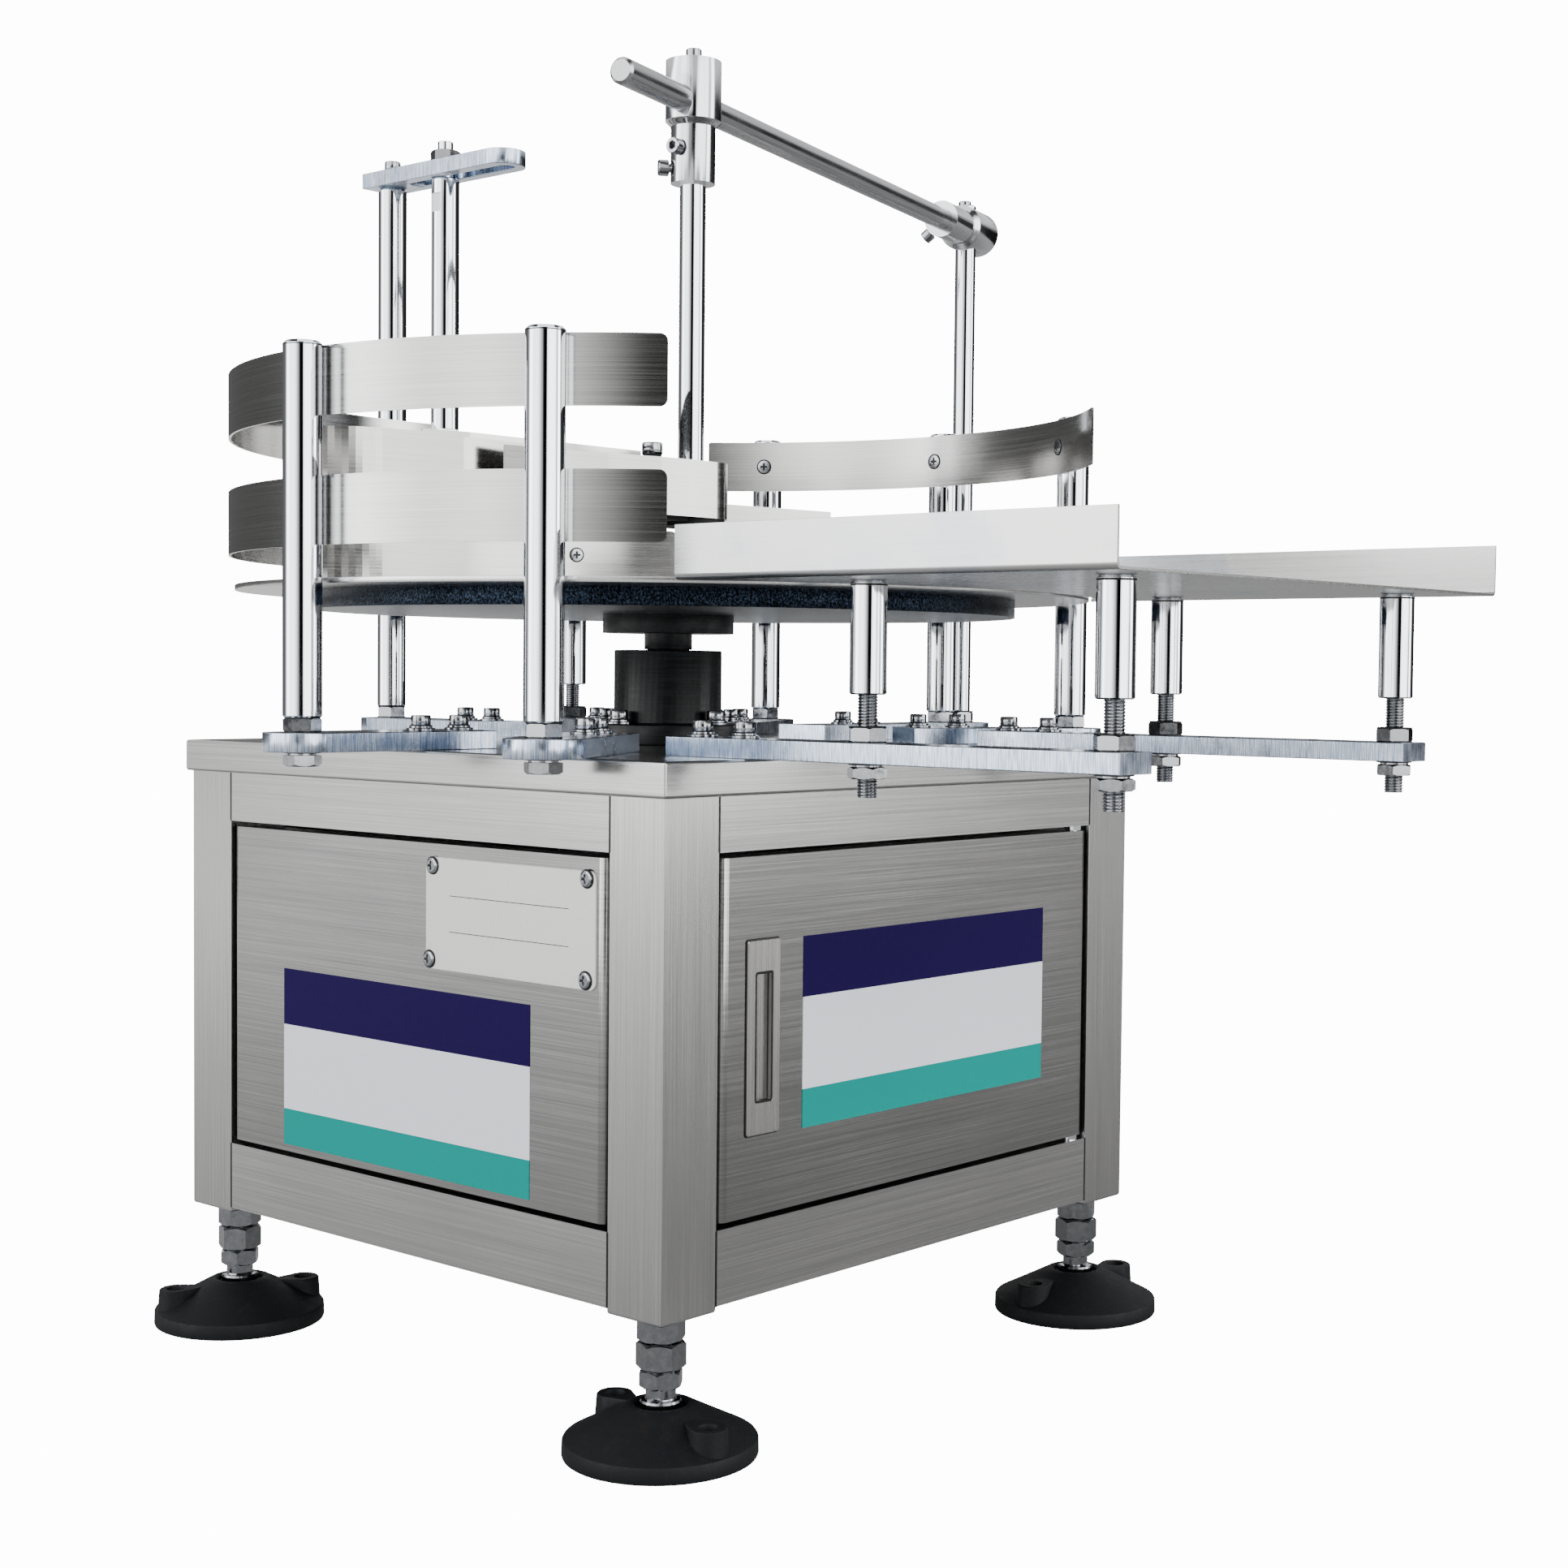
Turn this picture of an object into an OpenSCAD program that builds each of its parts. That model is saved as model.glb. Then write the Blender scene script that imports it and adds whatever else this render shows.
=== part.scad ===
// Rotary accumulation table: cabinet on levelling feet, driven disc, guards, tray and overhead guides.
// Millimetres, +Z up, origin on the floor under the disc axis, door and tray towards -Y.

/* [Turntable] */
// Diameter of the thin top disc
disc_d = 500; // [480:2:520]
// Thickness of the thin top disc
disc_t = 3; // [2:0.5:4]
// Diameter of the thick backing disc
plate_d = 413; // [360:1:440]
// Thickness of the thick backing disc
plate_t = 10; // [8:0.5:12]
// Height of the disc's top face above the floor
table_h = 434.5; // [430:0.5:445]
// Diameter of the hub flange under the discs
hub_d = 78; // [70:1:90]

/* [Cabinet] */
// Outer width of the square frame
cab_w = 393.5; // [380:0.5:400]
// Side of the square frame tube
tube_w = 38; // [36:1:40]
// Wall of the square frame tube
tube_wall = 1.5; // [1.5:0.5:3]
// Underside of the frame's corner posts above the floor
frame_bottom = 70; // [70:1:74]
// Height of the disc's top face above the frame's top
deck_drop = 97.5; // [94:0.5:101]
// Gap round the door and the panels
door_gap = 3; // [2:0.5:4]
// Sheet thickness of door, panels and cover
sheet_t = 1.5; // [1.5:0.1:2]
// Depth of the folded door and panels
pan_d = 15; // [12:1:18]

/* [Guards] */
// Distance from the disc's rim to the post circle
post_gap = 12.5; // [12:0.5:16]
// Diameter of the guard posts
post_d = 20; // [19:1:22]
// Height of the guard bands
band_h = 35.5; // [30:0.5:38]
// Thickness of the guard bands
band_t = 1.5; // [1:0.5:2.5]
// Gap from the disc's top face to the lower guard band
low_band_gap = 16.5; // [14:0.5:24]
// Step from the lower guard band to the upper one
band_step = 66; // [60:1:70]

/* [Tray] */
// Width of the tray over its flanges
tray_w = 356.6; // [340:1:360]
// Distance from the disc's axis to the tray's outer end
tray_out = 443; // [435:1:470]
// Height of the tray's side flanges
tray_h = 27; // [20:1:30]

/* [Overhead guides] */
// Diameter of the round guide rods
rod_d = 14; // [12:1:15]
// Height of the cross rod's axis above the disc's top face
cross_rise = 258; // [245:0.5:266]
// Direction of the cross rod, in degrees from +X
cross_dir = -164.6; // [-168:0.2:-162]
// Length of the cross rod
cross_len = 448; // [430:1:470]

/* [Hidden] */
$fn = 96;
half = cab_w / 2;
frame_top = table_h - deck_drop;
low_band_z = table_h + low_band_gap;
top_band_z = low_band_z + band_step;
post_top = top_band_z + band_h + 1.5;
cross_z = table_h + cross_rise;
post_c = half - tube_w / 2;
inner = half - tube_w;
low_rail_z = frame_bottom + 3;
low_rail_top = low_rail_z + tube_w;
top_rail_z = frame_top - tube_w;
deck_t = 6;
cover_t = 2;
cover_half = half + 3.25;
cover_top = frame_top + deck_t + cover_t;
arm_t = 10;
arm_top = cover_top + arm_t;
nut_h = 7.5;
nut_af = 17;
stud_r = 5;
run = 0.06;
post_z0 = arm_top + nut_h;
stud_z0 = cover_top - 16.5;
disc_r = disc_d / 2;
disc_z0 = table_h - disc_t;
plate_z0 = disc_z0 - plate_t;
hub_z0 = plate_z0 - 11;
house_top = hub_z0 - 10;
guard_r = disc_r + post_gap;
band_ro = guard_r - post_d / 2 + 0.9;
band_ri = band_ro - band_t;
tall_d = post_d - 1.4;
tall_top = table_h + 271.5;
bar_t = 10;
door_w = 2 * inner - 2 * door_gap;
door_z0 = low_rail_top + door_gap;
door_h = top_rail_z - door_gap - door_z0;
door_x = door_w / 2 - 6;
door_y = -half + 6;
tray_floor = table_h - 0.3;
tray_under = tray_floor - sheet_t;
tray_x = tray_w / 2;
tray_r = band_ro + 0.6;
tray_in = 183.5;
tarm_x = 130.5;
tpost_y = [-guard_r - 5.1, -tray_out + 32.6];
tpost_z0 = arm_top + 23;
rod_r = rod_d / 2;
lift_x = guard_r + 20.8;
finger_along = 381.4;
fx = lift_x + finger_along * cos(cross_dir);
fy = finger_along * sin(cross_dir);
hang_y = 208;
gear_y = 12;
gear_top = frame_top - 53;
couple_z = frame_top - 24;
motor_len = 88;
gear_h = 44;
guide_z = table_h + 35.5;
gate_z = table_h + 76.5;
band_end = 180 + acos((tray_x + 0.9) / band_ro);

steel = [0.75, 0.76, 0.77];
bright = [0.82, 0.83, 0.85];
zinc = [0.62, 0.66, 0.72];
black = [0.08, 0.08, 0.09];

module box(a, b) {
  translate(a) cube([b[0] - a[0], b[1] - a[1], b[2] - a[2]]);
}

module rod(r, z0, z1) {
  translate([0, 0, z0]) cylinder(r = r, h = z1 - z0);
}

module ring(ro, ri, z0, z1) {
  difference() {
    rod(ro, z0, z1);
    rod(ri, z0 - 1, z1 + 1);
  }
}

module hex(af, z0, z1) {
  translate([0, 0, z0]) cylinder(d = af / cos(30), h = z1 - z0, $fn = 6);
}

module nut(af, bore, z0, z1) {
  difference() {
    hex(af, z0, z1);
    rod(bore, z0 - 1, z1 + 1);
  }
}

module band(ri, ro, z0, z1, a0, a1) {
  rotate([0, 0, a0])
    rotate_extrude(angle = a1 - a0, $fn = 180)
      translate([ri, z0]) square([ro - ri, z1 - z0]);
}

function unit(v) = v / norm(v);
function left_of(v) = [-v[1], v[0]];
// Point i of a path moved sideways by s, with the corner mitred
function mitre(p, i, s) =
  let (a = unit(p[max(i, 1)] - p[max(i, 1) - 1]),
       b = unit(p[min(i + 1, len(p) - 1)] - p[min(i, len(p) - 2)]),
       n = unit(left_of(a) + left_of(b)))
  p[i] + s * n / (n * left_of(a));

// A sheet standing on edge along a path
module strip(path, t, z0, z1) {
  last = len(path) - 1;
  translate([0, 0, z0]) linear_extrude(z1 - z0)
    polygon(concat([for (i = [0:last]) mitre(path, i, t / 2)],
                   [for (i = [0:last]) mitre(path, last - i, -t / 2)]));
}

module at_corners(c) {
  for (x = [-c, c], y = [-c, c]) translate([x, y, 0]) children();
}

module on_circle(r, angles) {
  for (a = angles) rotate([0, 0, a]) translate([r, 0, 0]) children();
}

// Cabinet frame

module corner_posts() {
  color(steel) at_corners(post_c) difference() {
    box([-tube_w / 2, -tube_w / 2, frame_bottom], [tube_w / 2, tube_w / 2, frame_top]);
    box([-tube_w / 2 + tube_wall, -tube_w / 2 + tube_wall, frame_bottom + 12],
        [tube_w / 2 - tube_wall, tube_w / 2 - tube_wall, frame_top + 1]);
    rod(7 + run, frame_bottom - 1, frame_bottom + 13);
  }
}

module rail(z0) {
  difference() {
    box([-inner, -half, z0], [inner, -inner - 0.05, z0 + tube_w]);
    box([-inner - 1, -half + tube_wall, z0 + tube_wall], [inner + 1, -inner - tube_wall, z0 + tube_w - tube_wall]);
  }
}

module frame_rails() {
  color(steel) difference() {
    for (a = [0, 90, 180, 270], z = [low_rail_z, top_rail_z]) rotate([0, 0, a]) rail(z);
    translate([door_x, door_y, 0]) rod(3, low_rail_top - 5, low_rail_top + 1);
    translate([door_x, door_y, 0]) rod(3, top_rail_z - 1, top_rail_z + 5);
  }
}

module deck_plate() {
  color(steel) difference() {
    box([-half, -half, frame_top], [half, half, frame_top + deck_t]);
    rod(20, frame_top - 1, cover_top);
  }
}

module cabinet_cover() {
  color(steel) difference() {
    box([-cover_half, -cover_half, cover_top - 18], [cover_half, cover_half, cover_top]);
    box([-cover_half + cover_t, -cover_half + cover_t, cover_top - 19],
        [cover_half - cover_t, cover_half - cover_t, cover_top - cover_t]);
    rod(20, frame_top - 1, cover_top + 1);
  }
}

// A folded pan standing in the front opening, seen from -Y
module pan() {
  r = 4;
  x = door_w / 2;
  difference() {
    union() {
      box([-x + r, -half, door_z0], [x - r, -half + pan_d, door_z0 + door_h]);
      box([-x, -half + r, door_z0], [x, -half + pan_d, door_z0 + door_h]);
      for (s = [-1, 1]) translate([s * (x - r), -half + r, 0]) rod(r, door_z0, door_z0 + door_h);
    }
    box([-x + sheet_t + 2, -half + sheet_t, door_z0 + sheet_t],
        [x - sheet_t - 2, -half + pan_d + 1, door_z0 + door_h - sheet_t]);
  }
}

// A fixed panel: the pan with four tabs that meet the corner posts
module fixed_panel() {
  x = door_w / 2;
  pan();
  for (s = [-1, 1], z = [door_z0 + 30, door_z0 + door_h - 50])
    translate([0, 0, z])
      box([min(s * (x - 2), s * inner), -half + pan_d - 3, 0], [max(s * (x - 2), s * inner), -half + pan_d, 20]);
}

module left_panel() {
  color(steel) rotate([0, 0, -90]) fixed_panel();
}

module right_panel() {
  color(steel) rotate([0, 0, 90]) fixed_panel();
}

module rear_panel() {
  color(steel) difference() {
    rotate([0, 0, 180]) fixed_panel();
    translate([110, half, door_z0 + 30]) rotate([90, 0, 0]) rod(8, -1, 5);
  }
}

module nameplate() {
  color(bright) box([-half - 1, -150, door_z0 + door_h - 66.5], [-half, -19, door_z0 + door_h - 7]);
}

module hinge_pins() {
  color(bright) translate([door_x, door_y, 0]) {
    rod(3, low_rail_top - 4, low_rail_top + 12);
    rod(5, low_rail_top, low_rail_top + door_gap - 0.3);
    rod(3, top_rail_z - 12, top_rail_z + 4);
    rod(5, top_rail_z - door_gap + 0.3, top_rail_z);
  }
}

module door() {
  color(steel) difference() {
    pan();
    translate([door_x, door_y, 0]) rod(3 + run, door_z0 - 1, door_z0 + door_h + 1);
    box([-door_w / 2 + 23.8, -half - 1, door_z0 + 57.8], [-door_w / 2 + 37.2, -half + 3, door_z0 + 123.2]);
  }
}

module door_handle() {
  x = -door_w / 2;
  color(bright) difference() {
    union() {
      box([x + 17, -half - 1.5, door_z0 + 41], [x + 41, -half, door_z0 + 140]);
      box([x + 24, -half - 1, door_z0 + 58], [x + 37, -half + 11, door_z0 + 123]);
    }
    box([x + 25, -half - 2, door_z0 + 59], [x + 36, -half + 10, door_z0 + 122]);
  }
}

// Levelling feet

module foot_pad() {
  color(black) difference() {
    union() {
      rod(49, 0, 9);
      translate([0, 0, 9]) cylinder(r1 = 47.5, r2 = 13, h = 17);
      for (s = [-1, 1]) translate([37 * s, 0, 0]) rod(9.5, 0, 22);
      box([-37, -9.5, 5], [37, 9.5, 22]);
    }
    for (s = [-1, 1]) translate([37 * s, 0, 0]) rod(4.5, -1, 30);
    translate([0, 0, 2]) rod(8, 10, 30);
  }
}

module foot_stud() {
  color(zinc) {
    rod(8, 12, 28);
    rod(6.6, 28, 34);
    hex(20, 34, 43);
    rod(7, 43, frame_bottom + 58);
  }
}

module foot_pad_front_left() { translate([-post_c, -post_c, 0]) rotate([0, 0, 84]) foot_pad(); }
module foot_pad_front_right() { translate([post_c, -post_c, 0]) rotate([0, 0, -7]) foot_pad(); }
module foot_pad_rear_left() { translate([-post_c, post_c, 0]) rotate([0, 0, 155]) foot_pad(); }
module foot_pad_rear_right() { translate([post_c, post_c, 0]) rotate([0, 0, 60]) foot_pad(); }
module foot_stud_front_left() { translate([-post_c, -post_c, 0]) foot_stud(); }
module foot_stud_front_right() { translate([post_c, -post_c, 0]) foot_stud(); }
module foot_stud_rear_left() { translate([-post_c, post_c, 0]) foot_stud(); }
module foot_stud_rear_right() { translate([post_c, post_c, 0]) foot_stud(); }

module foot_lock_nuts() {
  color(zinc) at_corners(post_c) {
    nut(22, 7 + run, 43.3, frame_bottom - 13);
    rotate([0, 0, 17]) nut(22, 7 + run, frame_bottom - 13, frame_bottom);
  }
}

// Drive

module bearing_housing() {
  color(black) difference() {
    union() {
      rod(48, cover_top, cover_top + 12);
      rod(32, cover_top + 12, house_top);
    }
    rod(23.5, cover_top - 1, house_top - 3);
    rod(15, cover_top, house_top + 1);
    on_circle(40, [0, 90, 180, 270]) rod(4.2, cover_top - 1, cover_top + 13);
  }
}

module spindle_bearings() {
  color(bright) {
    ring(23.5, 12.5 + run, house_top - 15, house_top - 3);
    ring(23.5, 12.5 + run, cover_top, cover_top + 12);
  }
}

module spindle() {
  color(black) {
    rod(hub_d / 2, hub_z0, plate_z0);
    rod(14.25, house_top + 0.5, hub_z0);
    rod(12.5, cover_top - 8, house_top + 0.5);
    rod(8, couple_z, cover_top - 8);
  }
}

module turntable_plate() {
  color([0.25, 0.27, 0.3]) rod(plate_d / 2, plate_z0, disc_z0);
}

module turntable_top() {
  color(bright) rod(disc_r, disc_z0, table_h);
}

module shaft_coupling() {
  color(bright) difference() {
    rod(16, couple_z - 21, couple_z + 21);
    rod(8, couple_z, couple_z + 22);
    rod(6, couple_z - 22, couple_z);
  }
}

module gear_shaft() {
  color(bright) rod(6, gear_top - 20, couple_z);
}

module gearhead() {
  color([0.55, 0.56, 0.58]) difference() {
    translate([0, gear_y, 0]) box([-40, -40, gear_top - gear_h], [40, 40, gear_top]);
    rod(6 + run, gear_top - 21, gear_top + 1);
  }
}

module drive_motor() {
  color([0.35, 0.36, 0.38]) translate([0, gear_y, 0]) {
    rod(39.5, gear_top - gear_h - motor_len, gear_top - gear_h);
  }
}

module motor_pillars() {
  color(zinc) translate([0, gear_y, 0]) at_corners(33.2) rod(6, gear_top, frame_top);
}

module speed_controller() {
  y = half - sheet_t;
  color(black) difference() {
    box([-135, y - 45, door_z0 + 30], [-75, y, door_z0 + 130]);
    translate([-105, y - 45, door_z0 + 100]) rotate([90, 0, 0]) rod(3 + run, -12, 1);
  }
}

module speed_knob() {
  color(bright) translate([-105, half - sheet_t - 45, door_z0 + 100]) rotate([90, 0, 0]) {
    rod(3, -10, 0.4);
    rod(12, 0.4, 16);
    box([-1.2, 4, 15], [1.2, 11.5, 16.8]);
  }
}

module cable_gland() {
  color(black) translate([110, half, door_z0 + 30]) rotate([-90, 0, 0]) {
    rod(8, -sheet_t - 8, 0);
    hex(22, 0, 6);
    rod(10, 6, 18);
    hex(22, -sheet_t - 6, -sheet_t);
  }
}

// Arms, posts and guards

module arm(a, r0, r1) {
  color(zinc) rotate([0, 0, a]) difference() {
    union() {
      box([r0, -20, cover_top], [r1, 20, arm_top]);
      translate([r1, 0, 0]) rod(20, cover_top, arm_top);
    }
    translate([guard_r, 0, 0]) rod(stud_r + 0.4, cover_top - 1, arm_top + 1);
    for (r = [160, 186]) translate([r, 0, 0]) rod(3.3, cover_top - 1, arm_top + 1);
    if (r1 > guard_r) translate([r1, 0, 0]) rod(stud_r + 0.4, cover_top - 1, arm_top + 1);
  }
}

module left_arms() {
  for (a = [180, 212]) arm(a, 150, guard_r);
}

module rear_arms() {
  for (a = [60, 90]) arm(a, 150, guard_r);
}

module right_arms() {
  for (a = [-30.5, 30]) arm(a, 150, guard_r);
}

module lift_arm() {
  arm(0, 120, lift_x);
}

module tray_arm(x) {
  color(zinc) difference() {
    box([x - 13, tpost_y[1] - 11.6, cover_top], [x + 13, -143, arm_top]);
    for (y = tpost_y) translate([x, y, 0]) rod(stud_r + 0.4, cover_top - 1, arm_top + 1);
    for (y = [-157, -186]) translate([x, y, 0]) rod(3.3, cover_top - 1, arm_top + 1);
  }
}

module tray_arm_left() { tray_arm(-tarm_x); }
module tray_arm_right() { tray_arm(tarm_x); }

module cap_screw(z) {
  ring(7.8, 3, z, z + 1.6);
  rod(3, z - 10, z + 2);
  difference() {
    rod(5.4, z + 1.6, z + 8.2);
    hex(5, z + 4.6, z + 9);
  }
}

module cap_screws() {
  color(bright) {
    for (r = [160, 186]) on_circle(r, [180, 212, 90, 60, 30, 0, -30.5]) cap_screw(arm_top);
    for (x = [-tarm_x, tarm_x], y = [-157, -186]) translate([x, y, 0]) cap_screw(arm_top);
    on_circle(40, [0, 90, 180, 270]) rotate([0, 0, 15]) cap_screw(cover_top + 12);
    translate([0, guard_r, 0]) cap_screw(tall_top + bar_t);
  }
}

module nut_pair(turn) {
  rotate([0, 0, turn]) nut(nut_af, stud_r + run, arm_top, post_z0);
  rotate([0, 0, turn + 11]) nut(nut_af, stud_r + run, cover_top - nut_h, cover_top);
}

module post_nuts() {
  color(bright) {
    on_circle(guard_r, [180, 212, 90, 60, 30, -30.5]) nut_pair(20);
    translate([guard_r, 0, 0]) nut_pair(30);
    translate([lift_x, 0, 0]) nut_pair(30);
    for (x = [-tarm_x, tarm_x], y = tpost_y) translate([x, y, 0]) nut_pair(x / 9);
  }
}

// A round post on the guard circle, cut to seat the bands behind it
module post(a, d, z0, z1) {
  color(bright) difference() {
    rotate([0, 0, a]) translate([guard_r, 0, 0]) {
      rod(stud_r, stud_z0, z0);
      rod(d / 2, z0, z1 - 1.5);
      translate([0, 0, z1 - 1.5]) cylinder(r1 = d / 2, r2 = d / 2 - 1.5, h = 1.5);
    }
    rod(band_ro, low_band_z - 1, low_band_z + band_h + 1);
    rod(band_ro, top_band_z - 3, top_band_z + band_h + 5);
  }
}

module guard_posts() {
  post(180, post_d, post_z0, post_top);
  post(212, post_d, post_z0, post_top);
  post(60, tall_d, tpost_z0, low_band_z + band_h + 4);
}

module tall_post() {
  color(bright) difference() {
    post(90, tall_d, post_z0, tall_top);
    translate([0, guard_r, 0]) rod(3, tall_top - 12, tall_top + 1);
  }
}

module back_posts() {
  for (a = [30, 0, -30.5]) post(a, post_d, post_z0, top_band_z + band_h - 1.5);
}

module lower_guard_band() {
  color(steel) band(band_ri, band_ro, low_band_z, low_band_z + band_h, 44, band_end);
}

module upper_guard_band() {
  color(steel) band(band_ri, band_ro, top_band_z, top_band_z + band_h, 83, band_end);
}

module back_guide_band() {
  color(steel) band(band_ri, band_ro, top_band_z - 2, top_band_z + band_h - 3.5, -47.6, 39);
}

// Slotted bar with the hanging guide

module slotted_bar() {
  color(zinc) difference() {
    union() {
      box([-14, 151, tall_top], [14, guard_r + 14.5, tall_top + bar_t]);
      translate([0, 151, 0]) rod(14, tall_top, tall_top + bar_t);
    }
    box([-5.5, 148, tall_top - 1], [5.5, 235, tall_top + bar_t + 1]);
    for (y = [148, 235]) translate([0, y, 0]) rod(5.5, tall_top - 1, tall_top + bar_t + 1);
    translate([0, guard_r, 0]) rod(3.3, tall_top - 1, tall_top + bar_t + 1);
  }
}

module hanging_post() {
  color(bright) translate([0, hang_y, 0]) {
    difference() {
      rod(9, table_h + 11.5, tall_top - 0.05);
      rotate([0, 0, -11.5]) box([-12, -12, table_h + 5.5], [12, -8, gate_z + 33]);
      rotate([0, 0, -11.5]) box([-12, -9, gate_z], [12, -6.5, gate_z + 33]);
      for (s = [-1, 1])
        box([min(s * 7.5, s * 12), -12, tall_top - 22], [max(s * 7.5, s * 12), 12, tall_top - 10]);
    }
    rod(stud_r, tall_top - 1, tall_top + bar_t + 14);
    rotate([0, 0, 8]) hex(nut_af, tall_top + bar_t + 0.05, tall_top + bar_t + 8);
  }
}

module hanging_guide() {
  z0 = table_h + 2.5;
  bend = [-49, 40.5];
  wing = [for (a = [270:-5:220]) bend + 49.25 * [cos(a), sin(a)]];
  tip = wing[len(wing) - 1];
  color(steel) translate([0, hang_y, 0]) rotate([0, 0, -11.5]) {
    strip(concat([[10, -8.75]], wing), 1.5, z0, gate_z + 30);
    translate([tip[0], tip[1], 0]) rod(2.4, z0, gate_z + 30);
    strip([[-20, -7.25], [14, -7.25], [14 + 155 * cos(11.5), -7.25 + 155 * sin(11.5)]], 1.5, gate_z, gate_z + 32);
  }
}

// Tray

module tray() {
  r = 3;
  color(steel) difference() {
    union() {
      box([-tray_x + r, -tray_out, tray_under], [tray_x - r, 0, tray_floor]);
      for (s = [-1, 1]) mirror([s < 0 ? 1 : 0, 0, 0]) {
        box([tray_x - sheet_t, -tray_out, tray_under + r], [tray_x, -tray_in, tray_under + tray_h]);
        difference() {
          translate([tray_x - r, 0, tray_under + r]) rotate([90, 0, 0]) difference() {
            cylinder(r = r, h = tray_out);
            translate([0, 0, -1]) cylinder(r = r - sheet_t, h = tray_out + 2);
          }
          box([tray_x - 2 * r - 1, -tray_out - 1, tray_under], [tray_x - r, 1, tray_under + 2 * r + 1]);
          box([tray_x - 2 * r - 1, -tray_out - 1, tray_under + r], [tray_x + 1, 1, tray_under + 2 * r + 1]);
        }
      }
    }
    rod(tray_r, tray_under - 1, tray_under + tray_h + 1);
    box([-tray_x - 1, -tray_in, tray_under - 1], [tray_x + 1, 1, tray_under + tray_h + 1]);
  }
}

module tray_posts() {
  color(bright) for (x = [-tarm_x, tarm_x], y = tpost_y) translate([x, y, 0]) {
    rod(stud_r, stud_z0, tpost_z0);
    rod(9, tpost_z0, tray_under - 1.5);
    translate([0, 0, tray_under - 1.5]) cylinder(r1 = 9, r2 = 7.5, h = 1.5);
  }
}

// Overhead guide rods

// A turned clamp, head up: the cross bore runs along X through the origin, the neck bore along Z
module cross_clamp(head_run, neck_run) {
  color(bright) difference() {
    union() {
      rod(15, -10, 22);
      translate([0, 0, -13]) cylinder(r1 = 12, r2 = 15, h = 3);
      rod(12, -43, -13);
    }
    rotate([0, 90, 0]) translate([0, 0, -20]) cylinder(r = rod_r + head_run, h = 40);
    rod(rod_r + neck_run, -44, -rod_r - 1.5);
  }
}

module along_cross(d) {
  translate([lift_x, 0, cross_z]) rotate([0, 0, cross_dir]) translate([d, 0, 0]) children();
}

module lift_post() {
  color(bright) translate([lift_x, 0, 0]) {
    rod(stud_r, stud_z0, post_z0);
    rod(rod_r, post_z0, cross_z + 16);
  }
}

module post_clamp() {
  along_cross(0) rotate([0, -90, 0]) rotate([0, 0, 0]) cross_clamp(run, run);
}

module cross_rod() {
  color(bright) along_cross(rod_r + 2) rotate([0, 90, 0]) {
    rod(rod_r, 0, cross_len - 1.5);
    translate([0, 0, cross_len - 1.5]) cylinder(r1 = rod_r, r2 = rod_r - 1.5, h = 1.5);
  }
}

module rod_clamp() {
  along_cross(finger_along) cross_clamp(run, run);
}

module drop_rod() {
  color(bright) translate([fx, fy, 0]) rod(rod_r, guide_z - 10, cross_z - rod_r - 2);
}

module finger_guide() {
  t = 1.5;
  r = 19.25;
  color(steel) translate([fx, fy, 0]) {
    strip([[-130, 1.5], [-95, -3.5], [-70, -9.5], [-40, -17.5], [-20, -r], [0, -r]], t, guide_z, guide_z + 30);
    strip([[-147, 11.5], [-60, 16], [-15, r], [0, r]], t, guide_z, guide_z + 33);
    band(r - t / 2, r + t / 2, guide_z, guide_z + 30, -90, 90);
    strip([[r, 0], [103, -10]], t, guide_z - 18, guide_z + 10);
  }
}

module nose_block() {
  r = 18.5;
  color(black) translate([fx, fy, 0]) difference() {
    union() {
      rod(r, guide_z - 4, guide_z + 27);
      box([-36, -12, guide_z - 2], [0, 12, guide_z + 22]);
      translate([-29, 0, 0]) rod(5, guide_z, guide_z + 39);
    }
    rod(rod_r, guide_z - 5, guide_z + 28);
  }
}

corner_posts();
frame_rails();
deck_plate();
cabinet_cover();
left_panel();
right_panel();
rear_panel();
nameplate();
hinge_pins();
door();
door_handle();
foot_lock_nuts();
foot_pad_front_left();
foot_pad_front_right();
foot_pad_rear_left();
foot_pad_rear_right();
foot_stud_front_left();
foot_stud_front_right();
foot_stud_rear_left();
foot_stud_rear_right();
bearing_housing();
spindle_bearings();
spindle();
turntable_plate();
turntable_top();
shaft_coupling();
gear_shaft();
gearhead();
drive_motor();
motor_pillars();
speed_controller();
speed_knob();
cable_gland();
left_arms();
rear_arms();
right_arms();
lift_arm();
tray_arm_left();
tray_arm_right();
cap_screws();
post_nuts();
guard_posts();
tall_post();
back_posts();
lower_guard_band();
upper_guard_band();
back_guide_band();
slotted_bar();
hanging_post();
hanging_guide();
tray();
tray_posts();
lift_post();
post_clamp();
cross_rod();
rod_clamp();
drop_rod();
finger_guide();
nose_block();
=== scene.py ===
import math

import bmesh
import bpy
from mathutils import Matrix, Vector


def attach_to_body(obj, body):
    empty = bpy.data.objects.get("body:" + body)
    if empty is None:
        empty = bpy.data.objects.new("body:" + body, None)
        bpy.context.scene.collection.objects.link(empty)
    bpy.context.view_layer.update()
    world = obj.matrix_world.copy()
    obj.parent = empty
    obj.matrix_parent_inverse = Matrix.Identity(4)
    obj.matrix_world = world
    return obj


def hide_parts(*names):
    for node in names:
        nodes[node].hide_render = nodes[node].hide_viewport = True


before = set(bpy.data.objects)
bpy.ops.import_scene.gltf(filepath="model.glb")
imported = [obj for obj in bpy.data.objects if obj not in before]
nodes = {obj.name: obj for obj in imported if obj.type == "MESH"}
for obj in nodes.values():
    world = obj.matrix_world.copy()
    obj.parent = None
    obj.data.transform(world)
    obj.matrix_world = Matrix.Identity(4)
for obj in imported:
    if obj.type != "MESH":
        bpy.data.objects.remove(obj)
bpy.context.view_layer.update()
scene = bpy.context.scene
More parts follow.
